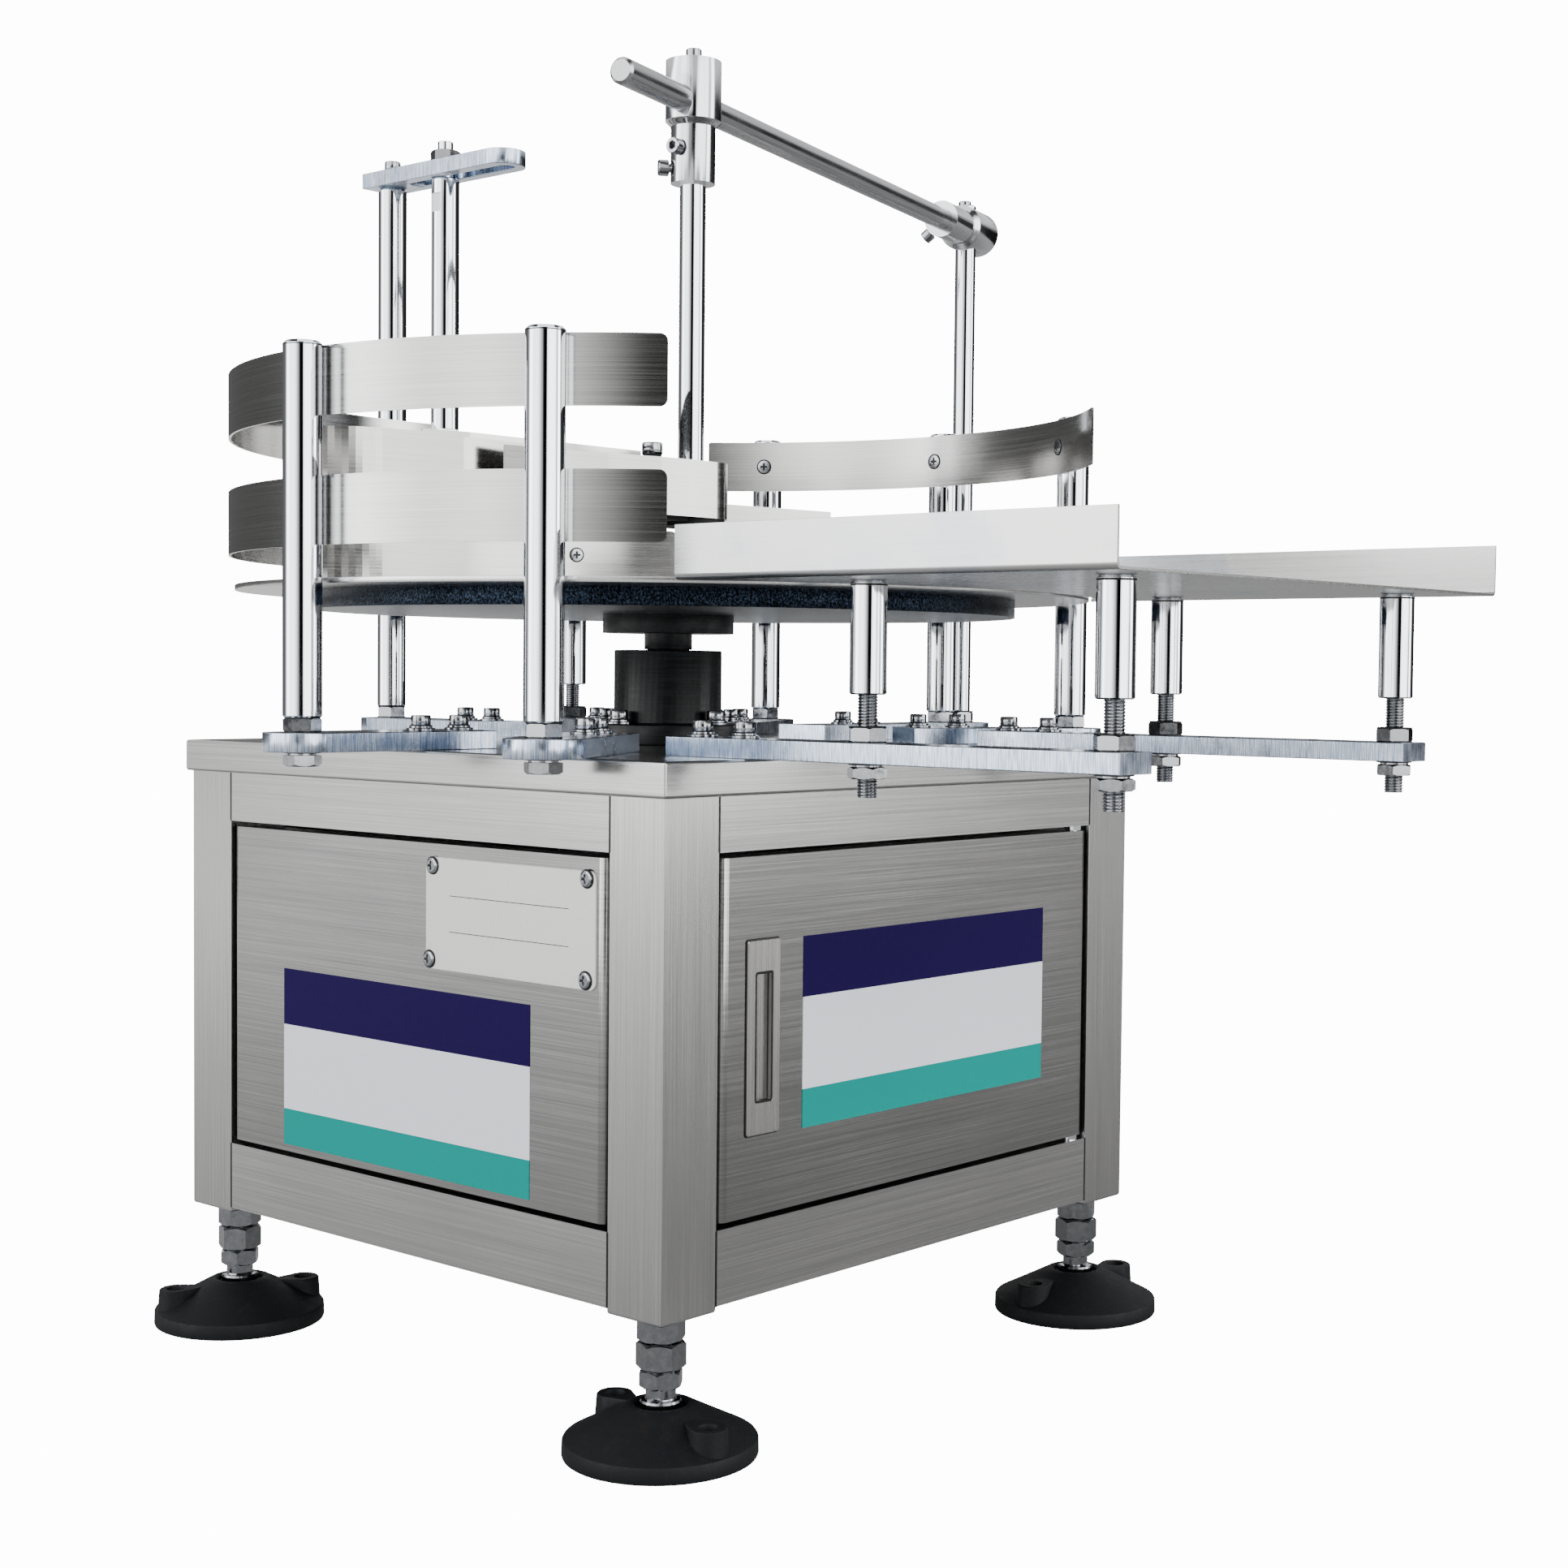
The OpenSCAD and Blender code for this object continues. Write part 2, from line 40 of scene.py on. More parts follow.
mm = 0.001
print("frame loaded:", len(nodes), "nodes")

# Places that several pieces share, in mm and degrees
layout = {
    "face": 196.75,  # outer faces of the cabinet, from its middle
    "armTop": 355.0,
    "armUnder": 345.0,
    "guardR": 262.5,  # circle of the posts
    "guards": (180, 212),
    "tall": 90,
    "low": 60,
    "backs": (30, 0, -30.5),
    "liftX": 283.3,  # overhead post
    "rodZ": 692.5,  # cross rod
    "rodTurn": -164.6,
    "drop": (-84.4, -101.3),  # drop rod
    "hang": (0.0, 208.0),  # hanging post
    "trayX": 130.5,
    "trayY": (-267.6, -410.4),
    "stud": 5.06,  # bore of a nut on a stud
    "nut": 17.0,
}
trayCorners = [(x, y) for x in (-layout["trayX"], layout["trayX"]) for y in layout["trayY"]]

# Camera and light

cameraSet = {
    "place": (-980.37, -988.45, 388.75),
    "forward": (0.76235, 0.64583, -0.04153),
    "right": (0.64669, -0.76267, 0.01082),
    "lens": 53.21,
    "sensor": 36,
    "shift": (-0.0539, -0.0098),
    "clip": (0.05, 50),
}


def makeCamera(s):
    data = bpy.data.cameras.new("photoCamera")
    data.lens = s["lens"]
    data.sensor_width = s["sensor"]
    data.shift_x, data.shift_y = s["shift"]
    data.clip_start, data.clip_end = s["clip"]
    camera = bpy.data.objects.new("photoCamera", data)
    scene.collection.objects.link(camera)
    forward = Vector(s["forward"]).normalized()
    right = Vector(s["right"]).normalized()
    up = right.cross(forward).normalized()
    turn = Matrix((right, up, -forward)).transposed().to_4x4()
    camera.matrix_world = Matrix.Translation(Vector(s["place"]) * mm) @ turn
    scene.camera = camera


def hexColour(code):
    channels = [int(code[i:i + 2], 16) / 255 for i in (1, 3, 5)]
    linear = [c / 12.92 if c <= 0.04045 else ((c + 0.055) / 1.055) ** 2.4 for c in channels]
    return (*linear, 1.0)


def setInputs(tree, node, inputs):
    for key, value in inputs.items():
        if isinstance(value, bpy.types.NodeSocket):
            tree.links.new(value, node.inputs[key])
        else:
            node.inputs[key].default_value = value


def addNode(tree, kind, inputs=None, **settings):
    node = tree.nodes.new(kind)
    for key, value in settings.items():
        setattr(node, key, value)
    setInputs(tree, node, inputs or {})
    return node


def setRamp(node, stops):
    ramp = node.color_ramp
    while len(ramp.elements) < len(stops):
        ramp.elements.new(0.5)
    for element, (place, colour) in zip(ramp.elements, stops):
        element.position = place
        element.color = colour


# Sizes of the studio are in metres; a slope is the sine of the angle above the horizon.
studioSet = {
    "backdrop": 14.0,
    "room": 7.5,
    "upper": 0.16,
    "upperSlope": (0.2, 0.36),
    "zenith": 0.012,
    "zenithSlope": (0.45, 0.85),
    "walls": [  # compass angle in degrees, brightness
        (-180, 0.6), (-168, 0.46), (-158, 0.2), (-148, 0.07), (-142, 0.012), (-139, 0.0),
        (-124, 0.0), (-119, 0.45), (-113, 0.72), (-80, 0.72), (-72, 0.5), (-66, 0.12),
        (-60, 0.1), (-55, 0.9), (-45, 1.0), (-41, 0.3), (-38, 0.05), (-33, 0.008),
        (-4, 0.002), (40, 0.002), (60, 0.016), (100, 0.02), (114, 0.025), (121, 0.045),
        (127, 0.14), (133, 0.5), (137, 0.85), (142, 0.95), (150, 0.75), (162, 0.52), (180, 0.6)],
    "aim": (0, 0, 0.35),
    "lamps": {  # place, size, power in watts
        "keyLight": ((-1.6, -0.4, 1.7), 1.4, 6.0),
        "fillLight": ((0.9, -1.9, 1.2), 1.6, 3.0),
        "topLight": ((0.2, 0.3, 2.2), 1.2, 10.0),
    },
    "floorHalf": 8,
    "floor": "#5a5a5a",
    "floorRough": 0.9,
    "floorGlow": 14.0,
    "floorSide": (-0.76, 0.65, 0.0),  # the floor mirrors brighter towards this side
    "floorReach": (-0.4, 0.4),
    "floorShine": (0.15, 0.5),
    "floorFar": (0.4, 3.0),
    "floorFade": (0.7, 2.4),
}


def makeWorld(s):
    world = bpy.data.worlds.new("softStudio")
    world.use_nodes = True
    tree = world.node_tree
    tree.nodes.clear()
    coords = addNode(tree, "ShaderNodeTexCoord")
    split = addNode(tree, "ShaderNodeSeparateXYZ", {0: coords.outputs["Generated"]})
    compass = addNode(tree, "ShaderNodeMath", {
        0: split.outputs["Y"], 1: split.outputs["X"]}, operation="ARCTAN2")
    share = addNode(tree, "ShaderNodeMapRange", {
        "Value": compass.outputs[0], "From Min": -math.pi, "From Max": math.pi})
    panels = addNode(tree, "ShaderNodeValToRGB", {0: share.outputs[0]})  # walls round the set
    setRamp(panels, [
        ((angle + 180) / 360, (level, level, level, 1)) for angle, level in s["walls"]])
    rise = addNode(tree, "ShaderNodeMapRange", {
        "Value": split.outputs["Z"], "From Min": s["upperSlope"][0],
        "From Max": s["upperSlope"][1], "To Max": s["upper"]})
    walls = addNode(tree, "ShaderNodeMix", {
        0: 1.0, 6: panels.outputs[0], 7: rise.outputs[0]}, data_type="RGBA", blend_type="LIGHTEN")
    steep = addNode(tree, "ShaderNodeMapRange", {
        "Value": split.outputs["Z"], "From Min": s["zenithSlope"][0],
        "From Max": s["zenithSlope"][1]}, interpolation_type="SMOOTHSTEP")
    dome = addNode(tree, "ShaderNodeMix", {
        0: steep.outputs[0], 6: walls.outputs[2], 7: (s["zenith"],) * 3 + (1,)}, data_type="RGBA")
    room = addNode(tree, "ShaderNodeBackground", {"Color": dome.outputs[2], "Strength": s["room"]})
    plain = addNode(tree, "ShaderNodeBackground", {"Color": (1, 1, 1, 1), "Strength": s["backdrop"]})
    path = addNode(tree, "ShaderNodeLightPath")
    mix = addNode(tree, "ShaderNodeMixShader", {
        0: path.outputs["Is Camera Ray"], 1: room.outputs[0], 2: plain.outputs[0]})
    addNode(tree, "ShaderNodeOutputWorld", {"Surface": mix.outputs[0]})
    scene.world = world


def makeLamps(s):
    for name, (place, size, power) in s["lamps"].items():
        data = bpy.data.lights.new(name, "AREA")
        data.size = size
        data.energy = power
        lamp = bpy.data.objects.new(name, data)
        scene.collection.objects.link(lamp)
        lamp.location = place
        lamp.rotation_euler = (Vector(s["aim"]) - Vector(place)).to_track_quat("-Z", "Y").to_euler()


# The floor is white to the camera and a graded grey in what the metal mirrors.
def makeFloor(s):
    half = s["floorHalf"]
    corners = [(-half, -half, 0), (half, -half, 0), (half, half, 0), (-half, half, 0)]
    mesh = bpy.data.meshes.new("studioFloor")
    mesh.from_pydata(corners, [], [(0, 1, 2, 3)])
    floor = bpy.data.objects.new("studioFloor", mesh)
    scene.collection.objects.link(floor)
    material = bpy.data.materials.new("paleFloorPaint")
    material.use_nodes = True
    tree = material.node_tree
    path = addNode(tree, "ShaderNodeLightPath")
    coords = addNode(tree, "ShaderNodeTexCoord")
    side = addNode(tree, "ShaderNodeVectorMath", {
        0: coords.outputs["Object"], 1: s["floorSide"]}, operation="DOT_PRODUCT")
    level = addNode(tree, "ShaderNodeMapRange", {
        "Value": side.outputs["Value"], "From Min": s["floorReach"][0],
        "From Max": s["floorReach"][1], "To Min": s["floorShine"][0], "To Max": s["floorShine"][1]})
    spread = addNode(tree, "ShaderNodeVectorMath", {0: coords.outputs["Object"]}, operation="LENGTH")
    far = addNode(tree, "ShaderNodeMapRange", {
        "Value": spread.outputs["Value"], "From Min": s["floorFar"][0],
        "From Max": s["floorFar"][1], "To Min": s["floorFade"][0], "To Max": s["floorFade"][1]})
    graded = addNode(tree, "ShaderNodeMath", {
        0: level.outputs[0], 1: far.outputs[0]}, operation="MULTIPLY")
    shine = addNode(tree, "ShaderNodeMath", {
        0: path.outputs["Is Glossy Ray"], 1: graded.outputs[0]}, operation="MULTIPLY")
    lift = addNode(tree, "ShaderNodeMath", {
        0: path.outputs["Is Camera Ray"], 1: s["floorGlow"], 2: shine.outputs[0]},
        operation="MULTIPLY_ADD")
    setInputs(tree, tree.nodes["Principled BSDF"], {
        "Base Color": hexColour(s["floor"]), "Roughness": s["floorRough"],
        "Emission Color": (1, 1, 1, 1), "Emission Strength": lift.outputs[0]})
    mesh.materials.append(material)


makeCamera(cameraSet)
makeWorld(studioSet)
makeLamps(studioSet)
makeFloor(studioSet)
print("camera and studio made")

# Materials: pattern sizes and depths are in mm, and noise runs mostly between these two values.
lowNoise = 0.3
highNoise = 0.7


def newMaterial(name):
    material = bpy.data.materials.new(name)
    material.use_nodes = True
    tree = material.node_tree
    tree.nodes.clear()
    shader = addNode(tree, "ShaderNodeBsdfPrincipled")
    addNode(tree, "ShaderNodeOutputMaterial", {"Surface": shader.outputs[0]})
    coords = addNode(tree, "ShaderNodeTexCoord")
    return material, tree, shader, coords.outputs["Object"]


# Stainless sheet and tube, belt brushed: long fine lines along the grain with a soft cloudy sheen.
# The real lines are about 0.1 mm; they are drawn 0.6 mm wide so that they show.
brushSet = {
    "lineWidth": 0.6, "lineLength": 140.0, "lineTone": (0.32, 0.68), "depth": 0.3,
    "cloud": 110.0, "veil": 0.5,
    "film": 90.0, "filmEdge": (0.5, 0.6), "filmShare": 0.4,
}


def brushedStainless(name, grain, light, dark, rough, bump=0.02, film=None):
    s = brushSet
    material, tree, shader, place = newMaterial(name)
    across = 1 / (s["lineWidth"] * mm)
    along = 1 / (s["lineLength"] * mm)
    stretch = addNode(tree, "ShaderNodeMapping", {
        "Vector": place, "Scale": tuple(along if axis in grain else across for axis in "xyz")})
    lines = addNode(tree, "ShaderNodeTexNoise", {
        "Vector": stretch.outputs[0], "Scale": 1.0, "Detail": 4.0, "Roughness": 0.65})
    cloud = addNode(tree, "ShaderNodeTexNoise", {
        "Vector": place, "Scale": 1 / (s["cloud"] * mm), "Detail": 3.0})
    tone = addNode(tree, "ShaderNodeMapRange", {
        "Value": lines.outputs[0], "From Min": s["lineTone"][0], "From Max": s["lineTone"][1]})
    colour = addNode(tree, "ShaderNodeMix", {
        0: tone.outputs[0], 6: hexColour(dark), 7: hexColour(light)}, data_type="RGBA")
    veil = addNode(tree, "ShaderNodeMapRange", {
        "Value": cloud.outputs[0], "From Min": lowNoise, "From Max": highNoise, "To Max": s["veil"]})
    colour = addNode(tree, "ShaderNodeMix", {
        0: veil.outputs[0], 6: colour.outputs[2], 7: hexColour(dark)}, data_type="RGBA")
    if film:  # cloudy remains of a protective film
        patch = addNode(tree, "ShaderNodeTexNoise", {
            "Vector": place, "Scale": 1 / (s["film"] * mm), "Detail": 4.0, "Distortion": 0.6})
        left = addNode(tree, "ShaderNodeMapRange", {
            "Value": patch.outputs[0], "From Min": s["filmEdge"][0],
            "From Max": s["filmEdge"][1], "To Max": s["filmShare"]})
        colour = addNode(tree, "ShaderNodeMix", {
            0: left.outputs[0], 6: colour.outputs[2], 7: hexColour(film)}, data_type="RGBA")
    gloss = addNode(tree, "ShaderNodeMapRange", {
        "Value": lines.outputs[0], "From Min": lowNoise, "From Max": highNoise,
        "To Min": rough[0], "To Max": rough[1]})
    relief = addNode(tree, "ShaderNodeBump", {
        "Strength": bump, "Distance": s["depth"] * mm, "Height": lines.outputs[0]})
    setInputs(tree, shader, {
        "Base Color": colour.outputs[2], "Metallic": 1.0, "Roughness": gloss.outputs[0],
        "Normal": relief.outputs[0]})
    return material


# Cold drawn bar, bright chromed: mirror like with faint drawing lines along the bar.
# A level bar, ground and not chromed, gets its way as a compass angle.
barSet = {"upright": (1.2, 1.2, 60.0), "level": (60.0, 0.7, 0.7), "haze": 25.0}


def chromedBar(name, light="#eceef1", dark="#d6dae0", rough=(0.03, 0.08), way=None):
    material, tree, shader, place = newMaterial(name)
    size = barSet["upright"] if way is None else barSet["level"]
    stretch = addNode(tree, "ShaderNodeMapping", {
        "Vector": place, "Rotation": (0, 0, math.radians(way or 0)),
        "Scale": tuple(length * mm for length in size)}, vector_type="TEXTURE")
    lines = addNode(tree, "ShaderNodeTexNoise", {
        "Vector": stretch.outputs[0], "Scale": 1.0, "Detail": 2.0})
    haze = addNode(tree, "ShaderNodeTexNoise", {
        "Vector": place, "Scale": 1 / (barSet["haze"] * mm), "Detail": 3.0})
    colour = addNode(tree, "ShaderNodeMix", {
        0: lines.outputs[0], 6: hexColour(dark), 7: hexColour(light)}, data_type="RGBA")
    gloss = addNode(tree, "ShaderNodeMapRange", {
        "Value": haze.outputs[0], "From Min": lowNoise, "From Max": highNoise,
        "To Min": rough[0], "To Max": rough[1]})
    setInputs(tree, shader, {
        "Base Color": colour.outputs[2], "Metallic": 1.0, "Roughness": gloss.outputs[0]})
    return material


# Laser cut flat bar, zinc plated: bluish patches on the faces, upright cutting streaks on the edges.
zincSet = {
    "patch": 12.0, "patchRough": 0.6, "dark": "#93a1b4", "light": "#ccd4df",
    "streak": (0.6, 0.6, 14.0), "streakDetail": 3.0, "streakTone": (0.35, 0.65),
    "edgeDark": "#8292aa", "edgeLight": "#ccd4df", "rough": (0.14, 0.3), "bump": 0.04,
}
# Hot rolled plate, laser cut and zinc plated: speckled grey faces, blue black streaked rim.
discSet = {
    "patch": 2.2, "patchRough": 0.75, "dark": "#6e7174", "light": "#a9acae",
    "streak": (0.8, 0.8, 1.2), "streakDetail": 4.0, "streakTone": (0.45, 0.72),
    "edgeDark": "#090c10", "edgeLight": "#414f62", "rough": (0.25, 0.5), "bump": 0.06,
}
cutSet = {"patchDetail": 5.0, "patchTone": (0.35, 0.65), "steep": 0.5, "depth": 0.3}


def laserCutPlate(name, s):
    material, tree, shader, place = newMaterial(name)
    patches = addNode(tree, "ShaderNodeTexNoise", {
        "Vector": place, "Scale": 1 / (s["patch"] * mm), "Detail": cutSet["patchDetail"],
        "Roughness": s["patchRough"]})
    stretch = addNode(tree, "ShaderNodeMapping", {
        "Vector": place, "Scale": tuple(1 / (length * mm) for length in s["streak"])})
    cut = addNode(tree, "ShaderNodeTexNoise", {
        "Vector": stretch.outputs[0], "Scale": 1.0, "Detail": s["streakDetail"]})
    surface = addNode(tree, "ShaderNodeNewGeometry")
    facing = addNode(tree, "ShaderNodeSeparateXYZ", {0: surface.outputs["True Normal"]})
    level = addNode(tree, "ShaderNodeMath", {0: facing.outputs["Z"]}, operation="ABSOLUTE")
    edge = addNode(tree, "ShaderNodeMath", {
        0: level.outputs[0], 1: cutSet["steep"]}, operation="LESS_THAN")
    tone = addNode(tree, "ShaderNodeMapRange", {
        "Value": patches.outputs[0], "From Min": cutSet["patchTone"][0],
        "From Max": cutSet["patchTone"][1]})
    face = addNode(tree, "ShaderNodeMix", {
        0: tone.outputs[0], 6: hexColour(s["dark"]), 7: hexColour(s["light"])}, data_type="RGBA")
    streaks = addNode(tree, "ShaderNodeMapRange", {
        "Value": cut.outputs[0], "From Min": s["streakTone"][0], "From Max": s["streakTone"][1]})
    side = addNode(tree, "ShaderNodeMix", {
        0: streaks.outputs[0], 6: hexColour(s["edgeDark"]), 7: hexColour(s["edgeLight"])},
        data_type="RGBA")
    colour = addNode(tree, "ShaderNodeMix", {
        0: edge.outputs[0], 6: face.outputs[2], 7: side.outputs[2]}, data_type="RGBA")
    gloss = addNode(tree, "ShaderNodeMapRange", {
        "Value": patches.outputs[0], "From Min": lowNoise, "From Max": highNoise,
        "To Min": s["rough"][0], "To Max": s["rough"][1]})
    relief = addNode(tree, "ShaderNodeBump", {
        "Strength": s["bump"], "Distance": cutSet["depth"] * mm, "Height": cut.outputs[0]})
    setInputs(tree, shader, {
        "Base Color": colour.outputs[2], "Metallic": 1.0, "Roughness": gloss.outputs[0],
        "Normal": relief.outputs[0]})
    return material


# Nickel plated nuts and screws: bright with small dull spots from handling.
nickelSet = {"light": "#aeb0b3", "dark": "#707378", "spot": 4.0, "rough": (0.06, 0.2)}


def platedFastener(name, s):
    material, tree, shader, place = newMaterial(name)
    spots = addNode(tree, "ShaderNodeTexNoise", {
        "Vector": place, "Scale": 1 / (s["spot"] * mm), "Detail": 4.0, "Roughness": 0.7})
    colour = addNode(tree, "ShaderNodeMix", {
        0: spots.outputs[0], 6: hexColour(s["dark"]), 7: hexColour(s["light"])}, data_type="RGBA")
    gloss = addNode(tree, "ShaderNodeMapRange", {
        "Value": spots.outputs[0], "From Min": lowNoise, "From Max": highNoise,
        "To Min": s["rough"][0], "To Max": s["rough"][1]})
    setInputs(tree, shader, {
        "Base Color": colour.outputs[2], "Metallic": 1.0, "Roughness": gloss.outputs[0]})
    return material


# Glass filled nylon, moulded: near black, fine grain, a little brown dust.
nylonSet = {
    "base": "#06090d", "dust": "#2b2118", "patch": 9.0, "dustEdge": (0.58, 0.75), "dustShare": 0.45,
    "rough": (0.55, 0.72), "grain": 0.8, "bump": 0.18, "depth": 0.3, "ior": 1.53,
    "sheen": 0.22,  # dusty skin, little shine
}


def mouldedNylon(name, s):
    material, tree, shader, place = newMaterial(name)
    grain = addNode(tree, "ShaderNodeTexNoise", {
        "Vector": place, "Scale": 1 / (s["grain"] * mm), "Detail": 2.0})
    patches = addNode(tree, "ShaderNodeTexNoise", {
        "Vector": place, "Scale": 1 / (s["patch"] * mm), "Detail": 6.0, "Roughness": 0.7})
    dusty = addNode(tree, "ShaderNodeMapRange", {
        "Value": patches.outputs[0], "From Min": s["dustEdge"][0], "From Max": s["dustEdge"][1],
        "To Max": s["dustShare"]})
    colour = addNode(tree, "ShaderNodeMix", {
        0: dusty.outputs[0], 6: hexColour(s["base"]), 7: hexColour(s["dust"])}, data_type="RGBA")
    gloss = addNode(tree, "ShaderNodeMapRange", {
        "Value": patches.outputs[0], "From Min": lowNoise, "From Max": highNoise,
        "To Min": s["rough"][0], "To Max": s["rough"][1]})
    relief = addNode(tree, "ShaderNodeBump", {
        "Strength": s["bump"], "Distance": s["depth"] * mm, "Height": grain.outputs[0]})
    setInputs(tree, shader, {
        "Base Color": colour.outputs[2], "Roughness": gloss.outputs[0], "IOR": s["ior"],
        "Specular IOR Level": s["sheen"], "Normal": relief.outputs[0]})
    return material


# Turned steel, black oxide: satin black with faint rings from the tool.
oxideSet = {
    "base": "#0a0b0d", "worn": "#202226", "ring": (40.0, 40.0, 0.9), "wornEdge": (0.45, 0.75),
    "rough": (0.28, 0.45), "bump": 0.08, "depth": 0.2, "metallic": 0.2,
    "sheen": 0.3,  # the oxide skin takes most of the shine
}


def blackOxide(name, s):
    material, tree, shader, place = newMaterial(name)
    stretch = addNode(tree, "ShaderNodeMapping", {
        "Vector": place, "Scale": tuple(1 / (length * mm) for length in s["ring"])})
    rings = addNode(tree, "ShaderNodeTexNoise", {
        "Vector": stretch.outputs[0], "Scale": 1.0, "Detail": 2.0})
    tone = addNode(tree, "ShaderNodeMapRange", {
        "Value": rings.outputs[0], "From Min": s["wornEdge"][0], "From Max": s["wornEdge"][1]})
    colour = addNode(tree, "ShaderNodeMix", {
        0: tone.outputs[0], 6: hexColour(s["base"]), 7: hexColour(s["worn"])}, data_type="RGBA")
    gloss = addNode(tree, "ShaderNodeMapRange", {
        "Value": rings.outputs[0], "From Min": lowNoise, "From Max": highNoise,
        "To Min": s["rough"][0], "To Max": s["rough"][1]})
    relief = addNode(tree, "ShaderNodeBump", {
        "Strength": s["bump"], "Distance": s["depth"] * mm, "Height": rings.outputs[0]})
    setInputs(tree, shader, {
        "Base Color": colour.outputs[2], "Metallic": s["metallic"], "Roughness": gloss.outputs[0],
        "Specular IOR Level": s["sheen"], "Normal": relief.outputs[0]})
    return material


# Painted, lacquered, die cast or moulded pieces: even colour with a light orange peel.
peelSet = {"peel": 1.5, "share": 0.12, "bump": 0.1, "depth": 0.2}


def sprayPaint(name, code, rough, metallic=0.0):
    s = peelSet
    material, tree, shader, place = newMaterial(name)
    peel = addNode(tree, "ShaderNodeTexNoise", {
        "Vector": place, "Scale": 1 / (s["peel"] * mm), "Detail": 2.0})
    colour = addNode(tree, "ShaderNodeMix", {
        0: s["share"], 6: hexColour(code), 7: peel.outputs["Color"]},
        data_type="RGBA", blend_type="MULTIPLY")
    relief = addNode(tree, "ShaderNodeBump", {
        "Strength": s["bump"], "Distance": s["depth"] * mm, "Height": peel.outputs[0]})
    setInputs(tree, shader, {
        "Base Color": colour.outputs[2], "Metallic": metallic, "Roughness": rough,
        "Normal": relief.outputs[0]})
    return material


# Printed vinyl sticker: three flat fields, stacked by height, under a thin matt film.
vinylSet = {
    "fields": [(0.0, "#008d86"), (0.2, "#e6e9f2"), (0.68, "#170541")],
    "film": 6.0, "rough": (0.4, 0.5), "ior": 1.49, "sheen": 0.06,
}


def printedVinyl(name, heights, s):
    material, tree, shader, place = newMaterial(name)
    split = addNode(tree, "ShaderNodeSeparateXYZ", {0: place})
    height = addNode(tree, "ShaderNodeMapRange", {
        "Value": split.outputs["Z"], "From Min": heights[0] * mm, "From Max": heights[1] * mm})
    bands = addNode(tree, "ShaderNodeValToRGB", {0: height.outputs[0]})
    bands.color_ramp.interpolation = "CONSTANT"
    setRamp(bands, [(share, hexColour(code)) for share, code in s["fields"]])
    film = addNode(tree, "ShaderNodeTexNoise", {
        "Vector": place, "Scale": 1 / (s["film"] * mm), "Detail": 2.0})
    gloss = addNode(tree, "ShaderNodeMapRange", {
        "Value": film.outputs[0], "From Min": lowNoise, "From Max": highNoise,
        "To Min": s["rough"][0], "To Max": s["rough"][1]})
    setInputs(tree, shader, {
        "Base Color": bands.outputs[0], "Roughness": gloss.outputs[0], "IOR": s["ior"],
        "Specular IOR Level": s["sheen"]})
    return material


sheetLevel = brushedStainless("brushedStainlessLevelGrain", "xy", "#cccbc9", "#b2b2b1", (0.17, 0.25))
# Darker copy of the same brushed sheet for the panels and door: painted shade
sheetPanelShaded = brushedStainless("brushedStainlessPanelShaded", "xy", "#adacab", "#8e8e8d", (0.17, 0.25))
sheetUpright = brushedStainless("brushedStainlessUprightGrain", "z", "#cccbc9", "#b1b1b0", (0.17, 0.25))
sheetBand = brushedStainless("brushedStainlessBandGrain", "xy", "#b9b8b6", "#a0a09f", (0.13, 0.2), 0.03)
sheetTray = brushedStainless(
    "brushedStainlessTrayGrain", "y", "#cac9c7", "#b6b6b6", (0.22, 0.3), film="#98a2b1")
discTop = brushedStainless("brushedStainlessDiscGrain", "x", "#cfcecc", "#bcbcbb", (0.2, 0.28))
handleSheet = brushedStainless("brushedStainlessHandle", "z", "#b9b8b6", "#a09f9e", (0.24, 0.34), 0.03)
barBright = chromedBar("chromedDrawnBar")
clampSteel = chromedBar("turnedStainlessClamp", "#d2d4d7", "#b4b6b9", (0.08, 0.18))
rodGround = chromedBar("groundSteelRod", "#c4c5c7", "#77797c", (0.2, 0.26), layout["rodTurn"])
armZinc = laserCutPlate("zincPlatedFlatBar", zincSet)
discPlate = laserCutPlate("zincPlatedCutPlate", discSet)
fastenerNickel = platedFastener("nickelPlatedFastener", nickelSet)
footNylon = mouldedNylon("mouldedGlassNylon", nylonSet)
# Black oxide of the hub; the same black also paints shade: the rings, crosses and strips in gaps and
# recesses, and it prints the plate's rules
hubBlackAndShade = blackOxide("blackOxideSteelAndPaintedShade", oxideSet)
plateAluminium = sprayPaint("lacqueredAluminiumPlate", "#e6e6e3", 0.36, 0.3)
gearAlloy = sprayPaint("dieCastAluminium", "#8d8f92", 0.45, 1.0)
motorPaint = sprayPaint("blackMotorEnamel", "#222428", 0.38)
casePlastic = sprayPaint("mouldedBlackPolycarbonate", "#1b1c1e", 0.5)

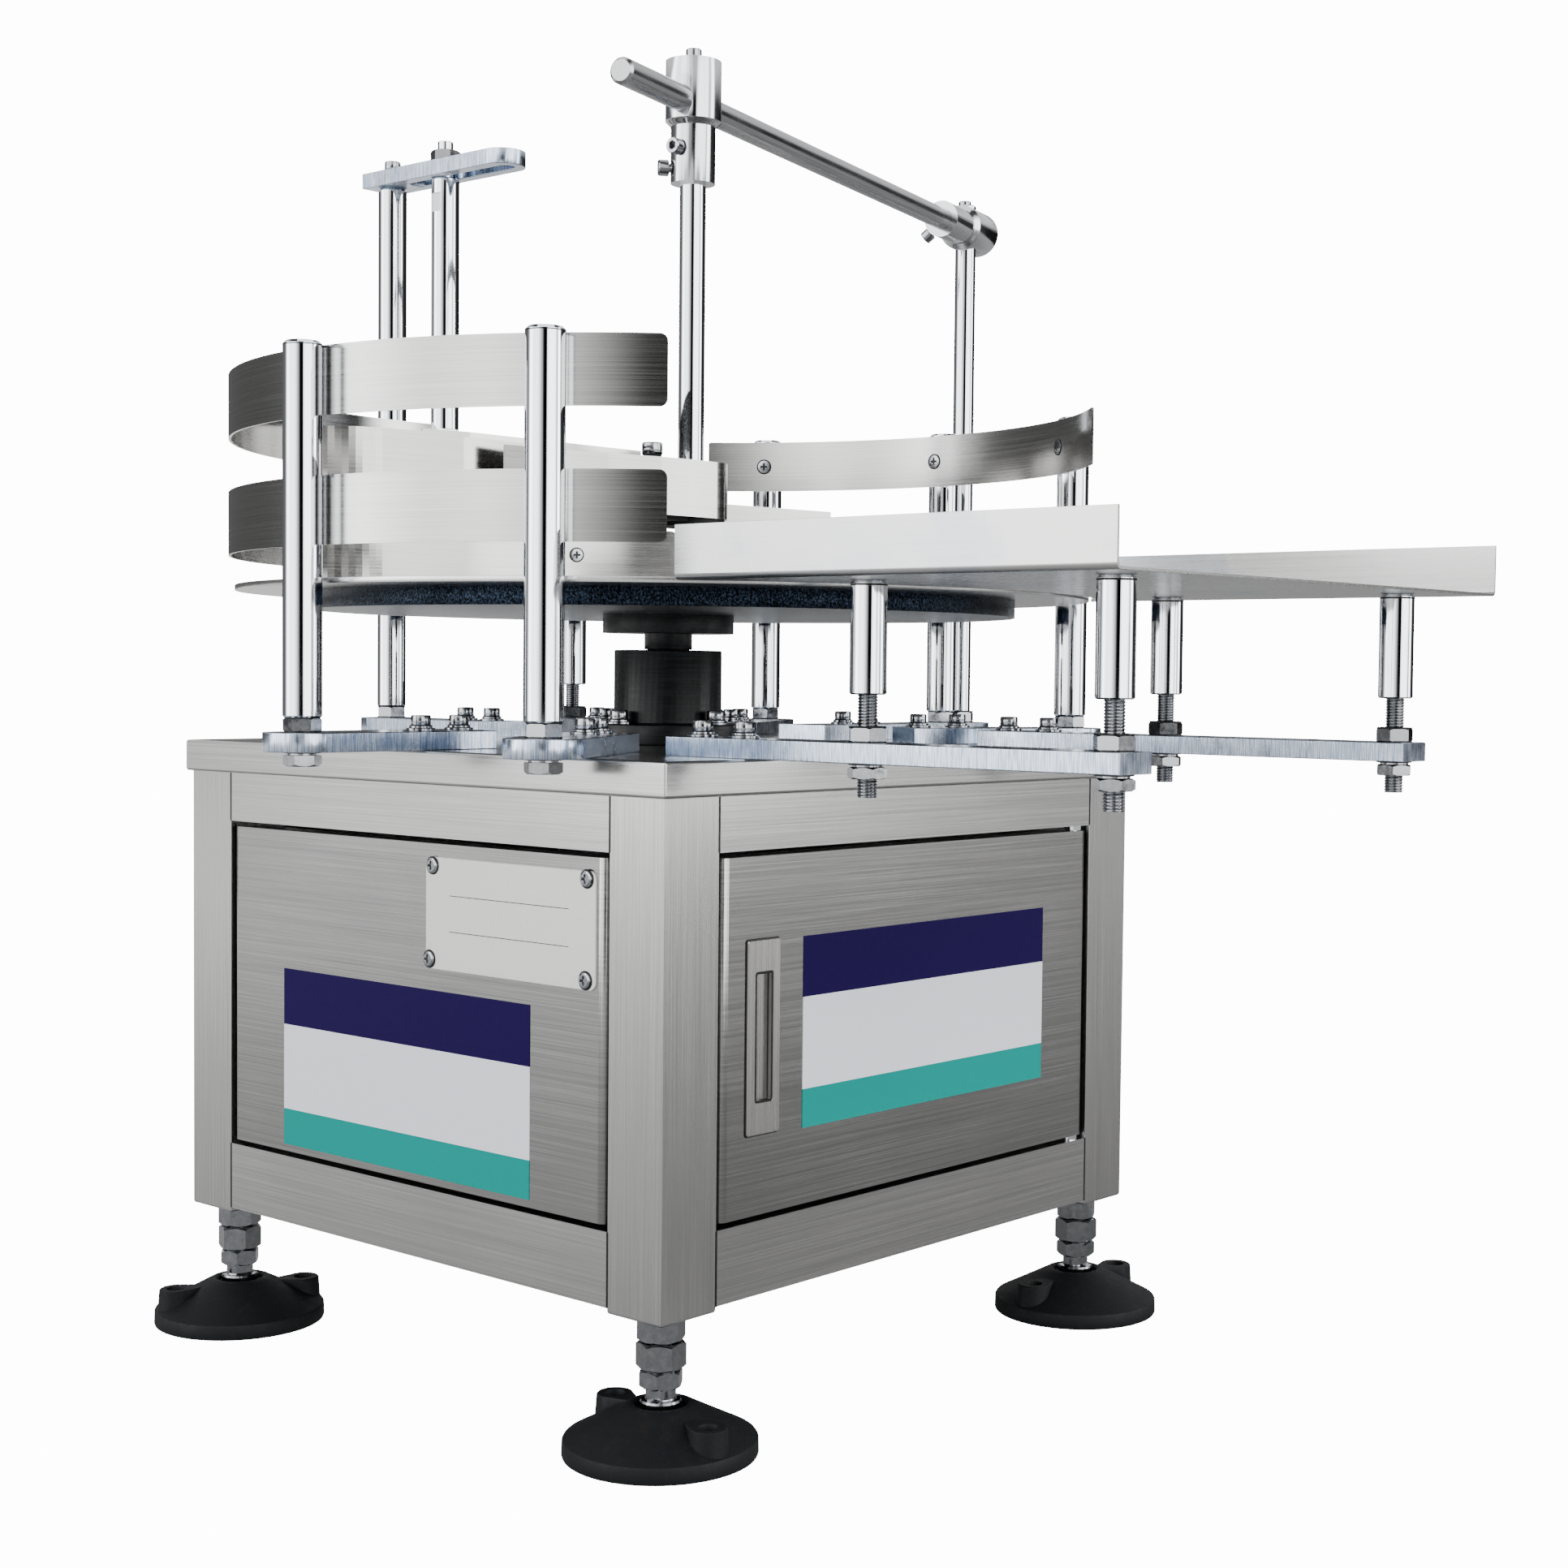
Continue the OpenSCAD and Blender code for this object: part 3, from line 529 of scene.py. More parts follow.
nodeFinish = {
    sheetLevel: ["frame_rails", "cabinet_cover"],
    sheetPanelShaded: ["left_panel", "right_panel", "rear_panel", "door"],
    sheetUpright: ["corner_posts"],
    sheetBand: ["lower_guard_band", "upper_guard_band", "back_guide_band", "hanging_guide",
                "finger_guide"],
    sheetTray: ["tray"],
    discTop: ["turntable_top"],
    barBright: ["guard_posts", "tall_post", "back_posts", "tray_posts", "lift_post", "hanging_post",
                "hinge_pins", "gear_shaft", "cross_rod", "drop_rod"],
    clampSteel: ["post_clamp", "rod_clamp", "spindle_bearings", "shaft_coupling"],
    armZinc: ["left_arms", "rear_arms", "right_arms", "lift_arm", "tray_arm_left", "tray_arm_right",
              "slotted_bar"],
    fastenerNickel: ["cap_screws", "post_nuts", "foot_lock_nuts", "motor_pillars",
                     "foot_stud_front_left", "foot_stud_front_right", "foot_stud_rear_left",
                     "foot_stud_rear_right"],
    footNylon: ["foot_pad_front_left", "foot_pad_front_right", "foot_pad_rear_left",
                "foot_pad_rear_right", "nose_block", "cable_gland"],
    hubBlackAndShade: ["bearing_housing", "spindle"],
    discPlate: ["turntable_plate", "deck_plate"],
    handleSheet: ["door_handle", "speed_knob"],
    plateAluminium: ["nameplate"],
    gearAlloy: ["gearhead"],
    motorPaint: ["drive_motor"],
    casePlastic: ["speed_controller"],
}
for finish, names in nodeFinish.items():
    for name in names:
        slots = nodes[name].data.materials
        slots.clear()
        slots.append(finish)
print("materials set on", sum(len(names) for names in nodeFinish.values()), "nodes")

# Soft edges on the frame's own solids: merge the triangles, round the sharp edges a little.
edgeSet = {
    "weld": 0.01, "segments": 3, "angle": 40,
    "widths": {
        3.0: ["corner_posts"],
        2.0: ["gearhead", "drive_motor"],
        1.6: ["cabinet_cover"],
        1.5: ["speed_controller"],
        1.2: ["door", "left_panel", "right_panel", "rear_panel"],
        0.8: ["bearing_housing", "spindle", "turntable_plate"],
        0.7: ["tray"],
        0.5: ["frame_rails", "left_arms", "rear_arms", "right_arms", "lift_arm", "tray_arm_left",
              "tray_arm_right", "slotted_bar", "post_clamp", "rod_clamp"],
        0.3: ["turntable_top"],
    },
}


def softenEdges(node, width, s):
    weld = node.modifiers.new("weldTriangles", "WELD")
    weld.merge_threshold = s["weld"] * mm
    bevel = node.modifiers.new("softEdges", "BEVEL")
    bevel.width = width * mm
    bevel.segments = s["segments"]
    bevel.limit_method = "ANGLE"
    bevel.angle_limit = math.radians(s["angle"])
    bevel.harden_normals = True
    bevel.use_clamp_overlap = True


for width, names in edgeSet["widths"].items():
    for name in names:
        softenEdges(nodes[name], width, edgeSet)
print("edges softened on", sum(len(names) for names in edgeSet["widths"].values()), "nodes")

# Building blocks for the pieces


def attach(piece, body, node=None):
    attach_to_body(piece, body)
    if node:
        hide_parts(node)
    return piece


def meshObject(name, verts, faces, material, crease=35):
    mesh = bpy.data.meshes.new(name)
    mesh.from_pydata(verts, [], faces)
    work = bmesh.new()
    work.from_mesh(mesh)
    bmesh.ops.remove_doubles(work, verts=work.verts, dist=1e-6)
    bmesh.ops.recalc_face_normals(work, faces=work.faces)
    work.to_mesh(mesh)
    work.free()
    mesh.shade_smooth()
    mesh.set_sharp_from_angle(angle=math.radians(crease))
    mesh.materials.append(material)
    piece = bpy.data.objects.new(name, mesh)
    scene.collection.objects.link(piece)
    return piece


def loft(name, sections, material, closed=False, crease=35):
    count = len(sections[0])
    verts = [tuple(c * mm for c in point) for section in sections for point in section]
    faces = []
    for k in range(len(sections) if closed else len(sections) - 1):
        nxt = (k + 1) % len(sections)
        for i in range(count):
            j = (i + 1) % count
            faces.append((k * count + i, k * count + j, nxt * count + j, nxt * count + i))
    if not closed:
        faces.append(tuple(range(count))[::-1])
        faces.append(tuple((len(sections) - 1) * count + i for i in range(count)))
    return meshObject(name, verts, faces, material, crease)


# A ring is a radius and a height, and each may be a function of the angle.
def turned(name, rings, material, count=48, closed=False, crease=35):
    sections = []
    for radius, height in rings:
        section = []
        for i in range(count):
            a = 2 * math.pi * i / count
            r = radius(a) if callable(radius) else radius
            z = height(a) if callable(height) else height
            section.append((r * math.cos(a), r * math.sin(a), z))
        sections.append(section)
    return loft(name, sections, material, closed, crease)


def hexRadius(acrossFlats):
    return lambda a: acrossFlats / 2 / math.cos(a % (math.pi / 3) - math.pi / 6)


def crossRadius(length, half):
    def radius(a):
        t = a % (math.pi / 2)
        t = min(t, math.pi / 2 - t)
        return min(length, half / max(math.sin(t), 1e-6))
    return radius


def flatRadius(radius, depth, angles):
    def cut(a):
        near = max(math.cos(a - math.radians(angle)) for angle in angles)
        return min(radius, depth / near) if near > 0 else radius
    return cut


def drop(*templates):
    for template in templates:
        bpy.data.objects.remove(template)


def joinPieces(name, parts):
    work = bmesh.new()
    for part in parts:
        part.data.transform(part.matrix_world)
        work.from_mesh(part.data)
    mesh = bpy.data.meshes.new(name)
    work.to_mesh(mesh)
    work.free()
    for material in parts[0].data.materials:
        mesh.materials.append(material)
    drop(*parts)
    piece = bpy.data.objects.new(name, mesh)
    scene.collection.objects.link(piece)
    return piece


def moved(piece, place, turn=0.0):
    piece.data.transform(Matrix.Translation(Vector(place) * mm) @ Matrix.Rotation(turn, 4, "Z"))
    return piece


def around(radius, angle, z):
    return (radius * math.cos(math.radians(angle)), radius * math.sin(math.radians(angle)), z)


def flatTurn(degrees):
    return (0.0, 0.0, math.radians(degrees))


def facing(degrees):
    return (0.0, math.pi / 2, math.radians(degrees))


# Tree that sets one template on every point, turned by the point's own angles.
def makeCopyTree():
    tree = bpy.data.node_groups.new("placeCopies", "GeometryNodeTree")
    face = tree.interface
    face.new_socket("Geometry", in_out="INPUT", socket_type="NodeSocketGeometry")
    piece = face.new_socket("Piece", in_out="INPUT", socket_type="NodeSocketObject")
    finish = face.new_socket("Finish", in_out="INPUT", socket_type="NodeSocketMaterial")
    face.new_socket("Geometry", in_out="OUTPUT", socket_type="NodeSocketGeometry")
    start = addNode(tree, "NodeGroupInput")
    info = addNode(tree, "GeometryNodeObjectInfo", {
        "Object": start.outputs["Piece"], "As Instance": True})
    angles = addNode(tree, "GeometryNodeInputNamedAttribute", {"Name": "turn"}, data_type="FLOAT_VECTOR")
    turn = addNode(tree, "FunctionNodeEulerToRotation", {0: angles.outputs[0]})
    spread = addNode(tree, "GeometryNodeInstanceOnPoints", {
        "Points": start.outputs["Geometry"], "Instance": info.outputs["Geometry"],
        "Rotation": turn.outputs[0]})
    real = addNode(tree, "GeometryNodeRealizeInstances", {0: spread.outputs[0]})
    painted = addNode(tree, "GeometryNodeSetMaterial", {
        "Geometry": real.outputs[0], "Material": start.outputs["Finish"]})
    addNode(tree, "NodeGroupOutput", {0: painted.outputs[0]})
    return tree, piece.identifier, finish.identifier


copyTree, pieceInput, finishInput = makeCopyTree()


def plainCopy(piece):
    bpy.context.view_layer.update()
    ready = piece.evaluated_get(bpy.context.evaluated_depsgraph_get())
    mesh = bpy.data.meshes.new_from_object(ready)
    piece.modifiers.clear()
    piece.data = mesh
    return piece


def placeCopies(name, template, places, body, node=None):
    mesh = bpy.data.meshes.new(name)
    mesh.from_pydata([tuple(c * mm for c in place) for place, turn in places], [], [])
    angles = mesh.attributes.new("turn", "FLOAT_VECTOR", "POINT")
    for i, (place, turn) in enumerate(places):
        angles.data[i].vector = turn
    piece = bpy.data.objects.new(name, mesh)
    scene.collection.objects.link(piece)
    material = next(m for m in template.data.materials if m)  # a rolled thread has an empty first slot
    spread = piece.modifiers.new("placeCopies", "NODES")
    spread.node_group = copyTree
    spread[pieceInput] = template
    spread[finishInput] = material
    plainCopy(piece)
    piece.data.name = name
    return attach(piece, body, node)


# Tree that rolls a grid into a screw thread: crest radius, depth, pitch, length.
threadSet = {"sides": 32, "rowsPerTurn": 8, "flank": 1.2, "merge": 1e-5, "crease": 50}


def makeThreadTree(s):
    tree = bpy.data.node_groups.new("rollThread", "GeometryNodeTree")
    face = tree.interface
    face.new_socket("Geometry", in_out="INPUT", socket_type="NodeSocketGeometry")
    kinds = {"Crest": "Float", "Depth": "Float", "Pitch": "Float", "Length": "Float",
             "Rows": "Int", "Finish": "Material"}
    inputs = {}
    for key, kind in kinds.items():
        socket = face.new_socket(key, in_out="INPUT", socket_type="NodeSocket" + kind)
        inputs[key] = socket.identifier
    face.new_socket("Geometry", in_out="OUTPUT", socket_type="NodeSocketGeometry")
    start = addNode(tree, "NodeGroupInput")
    grid = addNode(tree, "GeometryNodeMeshGrid", {
        "Size X": 2 * math.pi, "Size Y": start.outputs["Length"], "Vertices X": s["sides"] + 1,
        "Vertices Y": start.outputs["Rows"]})
    place = addNode(tree, "GeometryNodeInputPosition")
    split = addNode(tree, "ShaderNodeSeparateXYZ", {0: place.outputs[0]})
    values = {"angle": split.outputs["X"], "along": split.outputs["Y"]}
    for key in ("Crest", "Depth", "Pitch", "Length"):
        values[key] = start.outputs[key]
    steps = [
        ("turns", "DIVIDE", "angle", 2 * math.pi),
        ("rise", "DIVIDE", "along", "Pitch"),
        ("raised", "ADD", "rise", 1000.0),  # keeps the next steps above zero
        ("wound", "SUBTRACT", "raised", "turns"),
        ("phase", "FRACT", "wound", 0.0),
        ("twice", "MULTIPLY", "phase", 2.0),
        ("centred", "SUBTRACT", "twice", 1.0),
        ("slope", "ABSOLUTE", "centred", 0.0),
        ("steeper", "MULTIPLY", "slope", s["flank"]),
        ("groove", "MINIMUM", "steeper", 1.0),
        ("cut", "MULTIPLY", "groove", "Depth"),
        ("radius", "SUBTRACT", "Crest", "cut"),
        ("cosine", "COSINE", "angle", 0.0),
        ("sine", "SINE", "angle", 0.0),
        ("x", "MULTIPLY", "radius", "cosine"),
        ("y", "MULTIPLY", "radius", "sine"),
        ("half", "MULTIPLY", "Length", 0.5),
        ("z", "ADD", "along", "half"),
    ]
    for name, operation, first, second in steps:
        step = addNode(tree, "ShaderNodeMath", {
            0: values[first], 1: values.get(second, second)}, operation=operation)
        values[name] = step.outputs[0]
    point = addNode(tree, "ShaderNodeCombineXYZ", {0: values["x"], 1: values["y"], 2: values["z"]})
    rolled = addNode(tree, "GeometryNodeSetPosition", {
        "Geometry": grid.outputs["Mesh"], "Position": point.outputs[0]})
    merged = addNode(tree, "GeometryNodeMergeByDistance", {
        "Geometry": rolled.outputs[0], "Distance": s["merge"]})
    real = addNode(tree, "GeometryNodeRealizeInstances", {0: merged.outputs[0]})
    painted = addNode(tree, "GeometryNodeSetMaterial", {
        "Geometry": real.outputs[0], "Material": start.outputs["Finish"]})
    addNode(tree, "NodeGroupOutput", {0: painted.outputs[0]})
    return tree, inputs


threadTree, threadInputs = makeThreadTree(threadSet)


def threadTemplate(name, sizes, material):
    piece = bpy.data.objects.new(name, bpy.data.meshes.new(name))
    scene.collection.objects.link(piece)
    roll = piece.modifiers.new("rollThread", "NODES")
    roll.node_group = threadTree
    for key, size in sizes.items():
        roll[threadInputs[key]] = size * mm
    rows = int(sizes["Length"] / sizes["Pitch"] * threadSet["rowsPerTurn"]) + 1
    roll[threadInputs["Rows"]] = rows
    roll[threadInputs["Finish"]] = material
    plainCopy(piece)
    work = bmesh.new()
    work.from_mesh(piece.data)
    bmesh.ops.holes_fill(work, edges=[e for e in work.edges if e.is_boundary])
    bmesh.ops.recalc_face_normals(work, faces=work.faces)
    work.to_mesh(piece.data)
    work.free()
    piece.data.shade_smooth()
    piece.data.set_sharp_from_angle(angle=math.radians(threadSet["crease"]))
    return piece


# Nuts, washers and socket screws; the dark rings are painted shade in the gaps under and beside them
fixingSet = {
    "nutHigh": 7.5, "washer": 1.8, "washerR": 7.4,
    "circle": (180, 212, 90, 60, 30, -30.5),  # the first two hold a bolt from below
    "bolts": 2, "nutTurn": 20, "sideTurn": 30, "underTurn": 11, "trayTurn": 14.5,
    "shade": (9.2, 0.8), "shadeLow": 0.05, "shadeUnder": 0.75, "shadeTop": 0.45,
    # Size of the black ring of painted shade under each cap screw head, and how far up it sits
    "groove": (5.7, 3.0, 0.5), "headShadeUp": 2.45,
    "armScrews": (160, 186), "arms": (180, 212, 90, 60, 30, 0, -30.5),
    "trayScrews": (-157, -186), "trayScrewTurn": 7,
    "hubR": 40, "hubZ": 357, "hubAngles": (0, 90, 180, 270), "hubTurn": 15,
    "topZ": 716, "topTurn": 12,
}
nutSet = {"chamfer": 0.7, "face": 0.965, "fall": 0.6, "boltFace": 0.95, "boltFall": 0.7, "boltCore": 3.0}
capSet = {
    "washers": [(7.5, 0.0), (7.8, 0.2), (7.8, 1.1), (7.5, 1.3), (6.0, 1.3), (6.2, 1.5), (6.2, 2.4),
                (6.0, 2.6)],
    "seat": (5.0, 2.6), "head": 5.15, "headLow": 2.9, "headHigh": 7.5, "top": (4.8, 8.2),
    "knurl": 0.12, "knurls": 24, "socket": 5.2, "socketEdge": 0.25, "socketTop": 7.9, "socketFloor": 5.0,
}


def nutRings(acrossFlats, high, bore):
    s = nutSet
    corner = hexRadius(acrossFlats)
    face = acrossFlats / 2 * s["face"]
    chamfer = s["chamfer"]

    def fall(a):
        return (corner(a) - face) * s["fall"]

    return [(bore, chamfer), (bore + chamfer, 0.0), (face, 0.0), (corner, fall),
            (corner, lambda a: high - fall(a)), (face, high), (bore + chamfer, high),
            (bore, high - chamfer)]


def boltHeadRings(acrossFlats, high):
    s = nutSet
    corner = hexRadius(acrossFlats)
    face = acrossFlats / 2 * s["boltFace"]
    return [(s["boltCore"], 0.0), (face, 0.0), (corner, lambda a: (corner(a) - face) * s["boltFall"]),
            (corner, high)]


def washerRings(outer, bore, high, soft=0.2):
    return [(bore, 0.0), (outer - soft, 0.0), (outer, soft), (outer, high - soft), (outer - soft, high),
            (bore, high)]


def capScrewRings(s):
    def knurl(a):
        return s["head"] + s["knurl"] * math.cos(s["knurls"] * a)

    socket = hexRadius(s["socket"])
    return [*s["washers"], s["seat"], (knurl, s["headLow"]), (knurl, s["headHigh"]), s["top"],
            (lambda a: socket(a) + s["socketEdge"], s["top"][1]), (socket, s["socketTop"]),
            (socket, s["socketFloor"])]


def hexNut(name, acrossFlats, high, bore):
    return turned(name, nutRings(acrossFlats, high, bore), fastenerNickel, closed=True, crease=20)


# A black ring of painted shade, set into gaps, grooves and recesses
def paintedShadeRing(name, outer, bore, high):
    return turned(name, washerRings(outer, bore, high), hubBlackAndShade, closed=True)


def makeFixings(s):
    stud = layout["stud"]
    top = layout["armTop"]
    under = layout["armUnder"]
    lowHigh = s["nutHigh"] - s["washer"]
    nut = hexNut("nutTemplate", layout["nut"], s["nutHigh"], stud)
    low = hexNut("lowNutTemplate", layout["nut"], lowHigh, stud)
    head = turned("boltHeadTemplate", boltHeadRings(layout["nut"], lowHigh), fastenerNickel, crease=20)
    ring = turned("springWasherTemplate", washerRings(s["washerR"], stud, s["washer"]), fastenerNickel,
                  closed=True)
    screw = turned("capScrewTemplate", capScrewRings(capSet), fastenerNickel, crease=30)
    shade = paintedShadeRing("nutShadeTemplate", s["shade"][0], stud, s["shade"][1])
    # Black ring of painted shade under each cap screw head
    groove = paintedShadeRing("headShadeTemplate", *s["groove"])
    spots = [(*around(layout["guardR"], a, 0)[:2], a + s["nutTurn"]) for a in s["circle"]]
    spots += [(x, 0, s["sideTurn"]) for x in (layout["guardR"], layout["liftX"])]
    spots += [(x, y, math.copysign(s["trayTurn"], x)) for x, y in trayCorners]
    upper = [((x, y, top), flatTurn(turn)) for x, y, turn in spots]
    lower = [((x, y, under - s["nutHigh"]), flatTurn(turn + s["underTurn"])) for x, y, turn in spots]
    rings = [((x, y, under - s["washer"]), flatTurn(0)) for x, y, turn in spots]
    placeCopies("postNutsUpper", nut, upper, "cabinet", "post_nuts")
    placeCopies("postNutsLower", low, lower[s["bolts"]:], "cabinet")
    placeCopies("postBoltHeads", head, lower[:s["bolts"]], "cabinet")
    placeCopies("springWashers", ring, rings, "cabinet")
    shadeHeights = (top - s["shadeLow"], under - s["shadeUnder"], top + s["nutHigh"] - s["shadeTop"])
    shades = [((x, y, z), flatTurn(0)) for z in shadeHeights for x, y, turn in spots]
    placeCopies("nutShades", shade, shades, "cabinet")
    seats = [(around(r, a, top), flatTurn(a)) for r in s["armScrews"] for a in s["arms"]]
    seats += [((x, y, top), flatTurn(s["trayScrewTurn"]))
              for x in (-layout["trayX"], layout["trayX"]) for y in s["trayScrews"]]
    seats += [(around(s["hubR"], a, s["hubZ"]), flatTurn(a + s["hubTurn"])) for a in s["hubAngles"]]
    seats += [((0, layout["guardR"], s["topZ"]), flatTurn(s["topTurn"]))]
    headShadeSpots = [((x, y, z + s["headShadeUp"]), turn) for (x, y, z), turn in seats]
    placeCopies("headShades", groove, headShadeSpots, "cabinet")
    placeCopies("socketCapScrews", screw, seats, "cabinet", "cap_screws")
    drop(nut, low, head, ring, screw, shade, groove)


makeFixings(fixingSet)
print("nuts, washers and socket screws placed")

# Posts with rolled studs: radius, low end, high end, chamfer below and on top, neck
postSet = {
    "thread": {"Crest": 5.0, "Depth": 0.62, "Pitch": 1.5, "Length": 49.5}, "studZ": 328.5,
    "tray": (9.0, 378.0, 432.6, 0.8, 1.2),
    "low": (9.3, 378.0, 490.5, 0.8, 1.2),
    "guard": (10.0, 362.5, 554.0, 0.9, 1.6, [(5.0, 343.0), (5.0, 362.5)]),
    "back": (10.0, 362.5, 551.0, 0.9, 1.5, [(6.0, 362.5)]),
    # Black ring of painted shade just below the top chamfer of the tray posts, and its height
    "postTopShade": (9.06, 6.0, 1.2), "postTopShadeZ": 430.1,
    # Black ring of painted dark reflection just below the top chamfer of the guard posts, and its height
    "rim": (10.05, 7.0, 0.9), "shadeRimZ": 551.4,
    "sides": 64,
}


def barRings(radius, low, high, foot, top, neck=()):
    return [*neck, (radius - foot, low), (radius, low + foot), (radius, high - top), (radius - top, high)]


def makePosts(s):
    stud = threadTemplate("studTemplate", s["thread"], fastenerNickel)
    tray = turned("trayPostTemplate", barRings(*s["tray"]), barBright)
    postTopShade = paintedShadeRing("collarTemplate", *s["postTopShade"])
    guard = turned("guardPostTemplate", barRings(*s["guard"]), barBright, s["sides"])
    rim = paintedShadeRing("postRimTemplate", *s["rim"])
    low = turned("lowPostTemplate", barRings(*s["low"]), barBright)
    back = turned("backPostTemplate", barRings(*s["back"]), barBright, s["sides"])

    def onTray(z, spin=0):  # with spin 1 each copy has its own turn
        return [((x, y, z), flatTurn(spin * x)) for x, y in trayCorners]

    def onCircle(angles, z, spin=0):
        return [(around(layout["guardR"], a, z), flatTurn(spin * a)) for a in angles]

    placeCopies("trayStuds", stud, onTray(s["studZ"], 1), "tray")
    placeCopies("trayPosts", tray, onTray(0), "tray", "tray_posts")
    placeCopies("trayPostCollars", postTopShade, onTray(s["postTopShadeZ"]), "tray")
    placeCopies("lowPostStud", stud, onCircle([layout["low"]], s["studZ"]), "cabinet")
    placeCopies("lowPost", low, onCircle([layout["low"]], 0), "cabinet")
    placeCopies("guardPosts", guard, onCircle(layout["guards"], 0), "cabinet", "guard_posts")
    placeCopies("guardPostRims", rim, onCircle(layout["guards"], s["shadeRimZ"]), "cabinet")
    plain = onCircle([*layout["backs"], layout["tall"]], s["studZ"], 1)
    plain += [((layout["liftX"], 0, s["studZ"]), flatTurn(0))]
    placeCopies("fixedStuds", stud, plain, "cabinet")
    placeCopies("backPosts", back, onCircle(layout["backs"], 0), "cabinet", "back_posts")
    drop(stud, tray, postTopShade, guard, rim, low, back)


makePosts(postSet)
print("posts and studs placed")

# Single posts and rods, turned with small chamfers; the hanging post has milled flats
rodSet = {
    "tall": (9.3, 362.5, 705.9, 0.9, 1.5, [(6.0, 362.5)]),
    "lift": (7.0, 362.5, 708.5, 0.6, 0.8, [(6.0, 362.5)]),
    "drop": (7.0, 460.0, 683.5, 0.8, 0.8),
    "cross": (7.0, 0.0, 448.0, 0.8, 1.5), "crossStart": 9.0,
    "hangR": 9.0, "back": 8.0, "seat": 6.5, "flatTurn": -101.5, "grip": 7.5,
    "backZ": (446.0, 511.0), "seatZ": (511.0, 544.0), "gripZ": (684.0, 696.0),
    "hangTop": [(9.0, 705.2), (8.3, 705.9), (5.0, 705.9), (5.0, 729.4), (4.4, 730.0)],
    "nutHigh": 7.9, "nutZ": 716.05, "nutTurn": 8,
    "sides": 64,
}


def hangingRings(s):
    back = flatRadius(s["hangR"], s["back"], (s["flatTurn"],))
    seat = flatRadius(s["hangR"], s["seat"], (s["flatTurn"],))
    grip = flatRadius(s["hangR"], s["grip"], (0, 180))
    rings = [(back, z) for z in s["backZ"]]
    rings += [(seat, z) for z in s["seatZ"]]
    rings += [(s["hangR"], s["seatZ"][1]), (s["hangR"], s["gripZ"][0])]
    rings += [(grip, z) for z in s["gripZ"]]
    return rings + [(s["hangR"], s["gripZ"][1])] + s["hangTop"]


def uprightBar(name, rings, place, body, node):
    bar = turned(name, rings, barBright, rodSet["sides"])
    attach(moved(bar, place), body, node)


def makeRods(s):
    uprightBar("tallPost", barRings(*s["tall"]), (0, layout["guardR"], 0), "cabinet", "tall_post")
    uprightBar("liftPost", barRings(*s["lift"]), (layout["liftX"], 0, 0), "cabinet", "lift_post")
    uprightBar("dropRod", barRings(*s["drop"]), (*layout["drop"], 0), "finger", "drop_rod")
    cross = turned("crossRod", barRings(*s["cross"]), rodGround, s["sides"])
    cross.data.transform(Matrix.Rotation(math.pi / 2, 4, "Y"))
    outX, outY, z = around(s["crossStart"], layout["rodTurn"], layout["rodZ"])
    moved(cross, (layout["liftX"] + outX, outY, z), math.radians(layout["rodTurn"]))
    attach(cross, "swing_clamp", "cross_rod")
    uprightBar("hangingPost", hangingRings(s), (*layout["hang"], 0), "hanging_guide", "hanging_post")
    nut = hexNut("hangingNut", layout["nut"], s["nutHigh"], layout["stud"])
    moved(nut, (*layout["hang"], s["nutZ"]), math.radians(s["nutTurn"]))
    attach(nut, "hanging_guide")


makeRods(rodSet)
print("posts and rods turned")

# Guard bands: thin strip on a circle with rounded corners at both ends
bandSet = {
    "inner": 251.9, "outer": 253.4, "steps": 110, "cornerSteps": 6,
    "bands": {  # node, low and high edge, first and last angle, corner radius
        "lowerGuardBand": ("lower_guard_band", 451.0, 486.5, 44.0, 225.0, 4.0),
        "upperGuardBand": ("upper_guard_band", 517.0, 552.5, 83.0, 225.0, 4.0),
        "backGuideBand": ("back_guide_band", 515.0, 549.0, -47.6, 39.0, 1.5),
    },
}


def bandSections(s, low, high, first, last, corner):
    length = math.radians(last - first) * s["outer"]
    count = s["cornerSteps"]
    steps = [corner * (1 - math.cos(math.pi / 2 * i / count)) for i in range(count + 1)]
    middle = [corner + (length - 2 * corner) * i / s["steps"] for i in range(1, s["steps"])]
    sections = []
    for run in steps + middle + [length - step for step in reversed(steps)]:
        end = min(run, length - run)
        cut = corner - math.sqrt(max(0.0, corner ** 2 - max(0.0, corner - end) ** 2))
        angle = math.radians(first) + run / s["outer"]
        outline = ((s["inner"], low + cut), (s["outer"], low + cut), (s["outer"], high - cut),
                   (s["inner"], high - cut))
        sections.append([(r * math.cos(angle), r * math.sin(angle), z) for r, z in outline])
    return sections


for name, (node, *sizes) in bandSet["bands"].items():
    band = loft(name, bandSections(bandSet, *sizes), sheetBand)
    attach(band, "cabinet", node)
print("guard bands rolled")

# Countersunk cross screws in the bands, small screws in the clamps and on the name plate
smallSet = {
    # The sink and slot sizes here are black rings and crosses of painted shade in countersinks and
    # recesses
    "bandScrew": (4.6, 0.7), "bandSinkShade": (5.2, 4.5, 0.5),
    "slot": (2.6, 0.75), "slotShadeZ": (0.2, 0.45),
    "backZ": 532, "lowZ": 468.5, "highZ": 534.5,
    "plateScrew": (4.3, 1.6), "plateSinkShade": (4.9, 4.2, 0.5), "plateFront": 1.0,
    "plate": [(-24.8, 284.5), (-143.7, 285.1), (-143.0, 234.5), (-22.3, 234.8)],
    "clampR": 4.3, "neckR": 11.6, "neck": [(188, 667.0), (142, 657.5)], "neckTop": 714.0,
    "tilt": (0.8, 0.6), "tiltOut": 36, "tiltUp": 11.4, "capOut": 2, "capZ": 704.0,
    "nose": [(5.3, 503.0), (5.5, 503.3), (5.5, 508.4), (5.0, 509.2), (2.9, 509.2), (2.7, 506.0)],
    "noseX": -113.4,
}


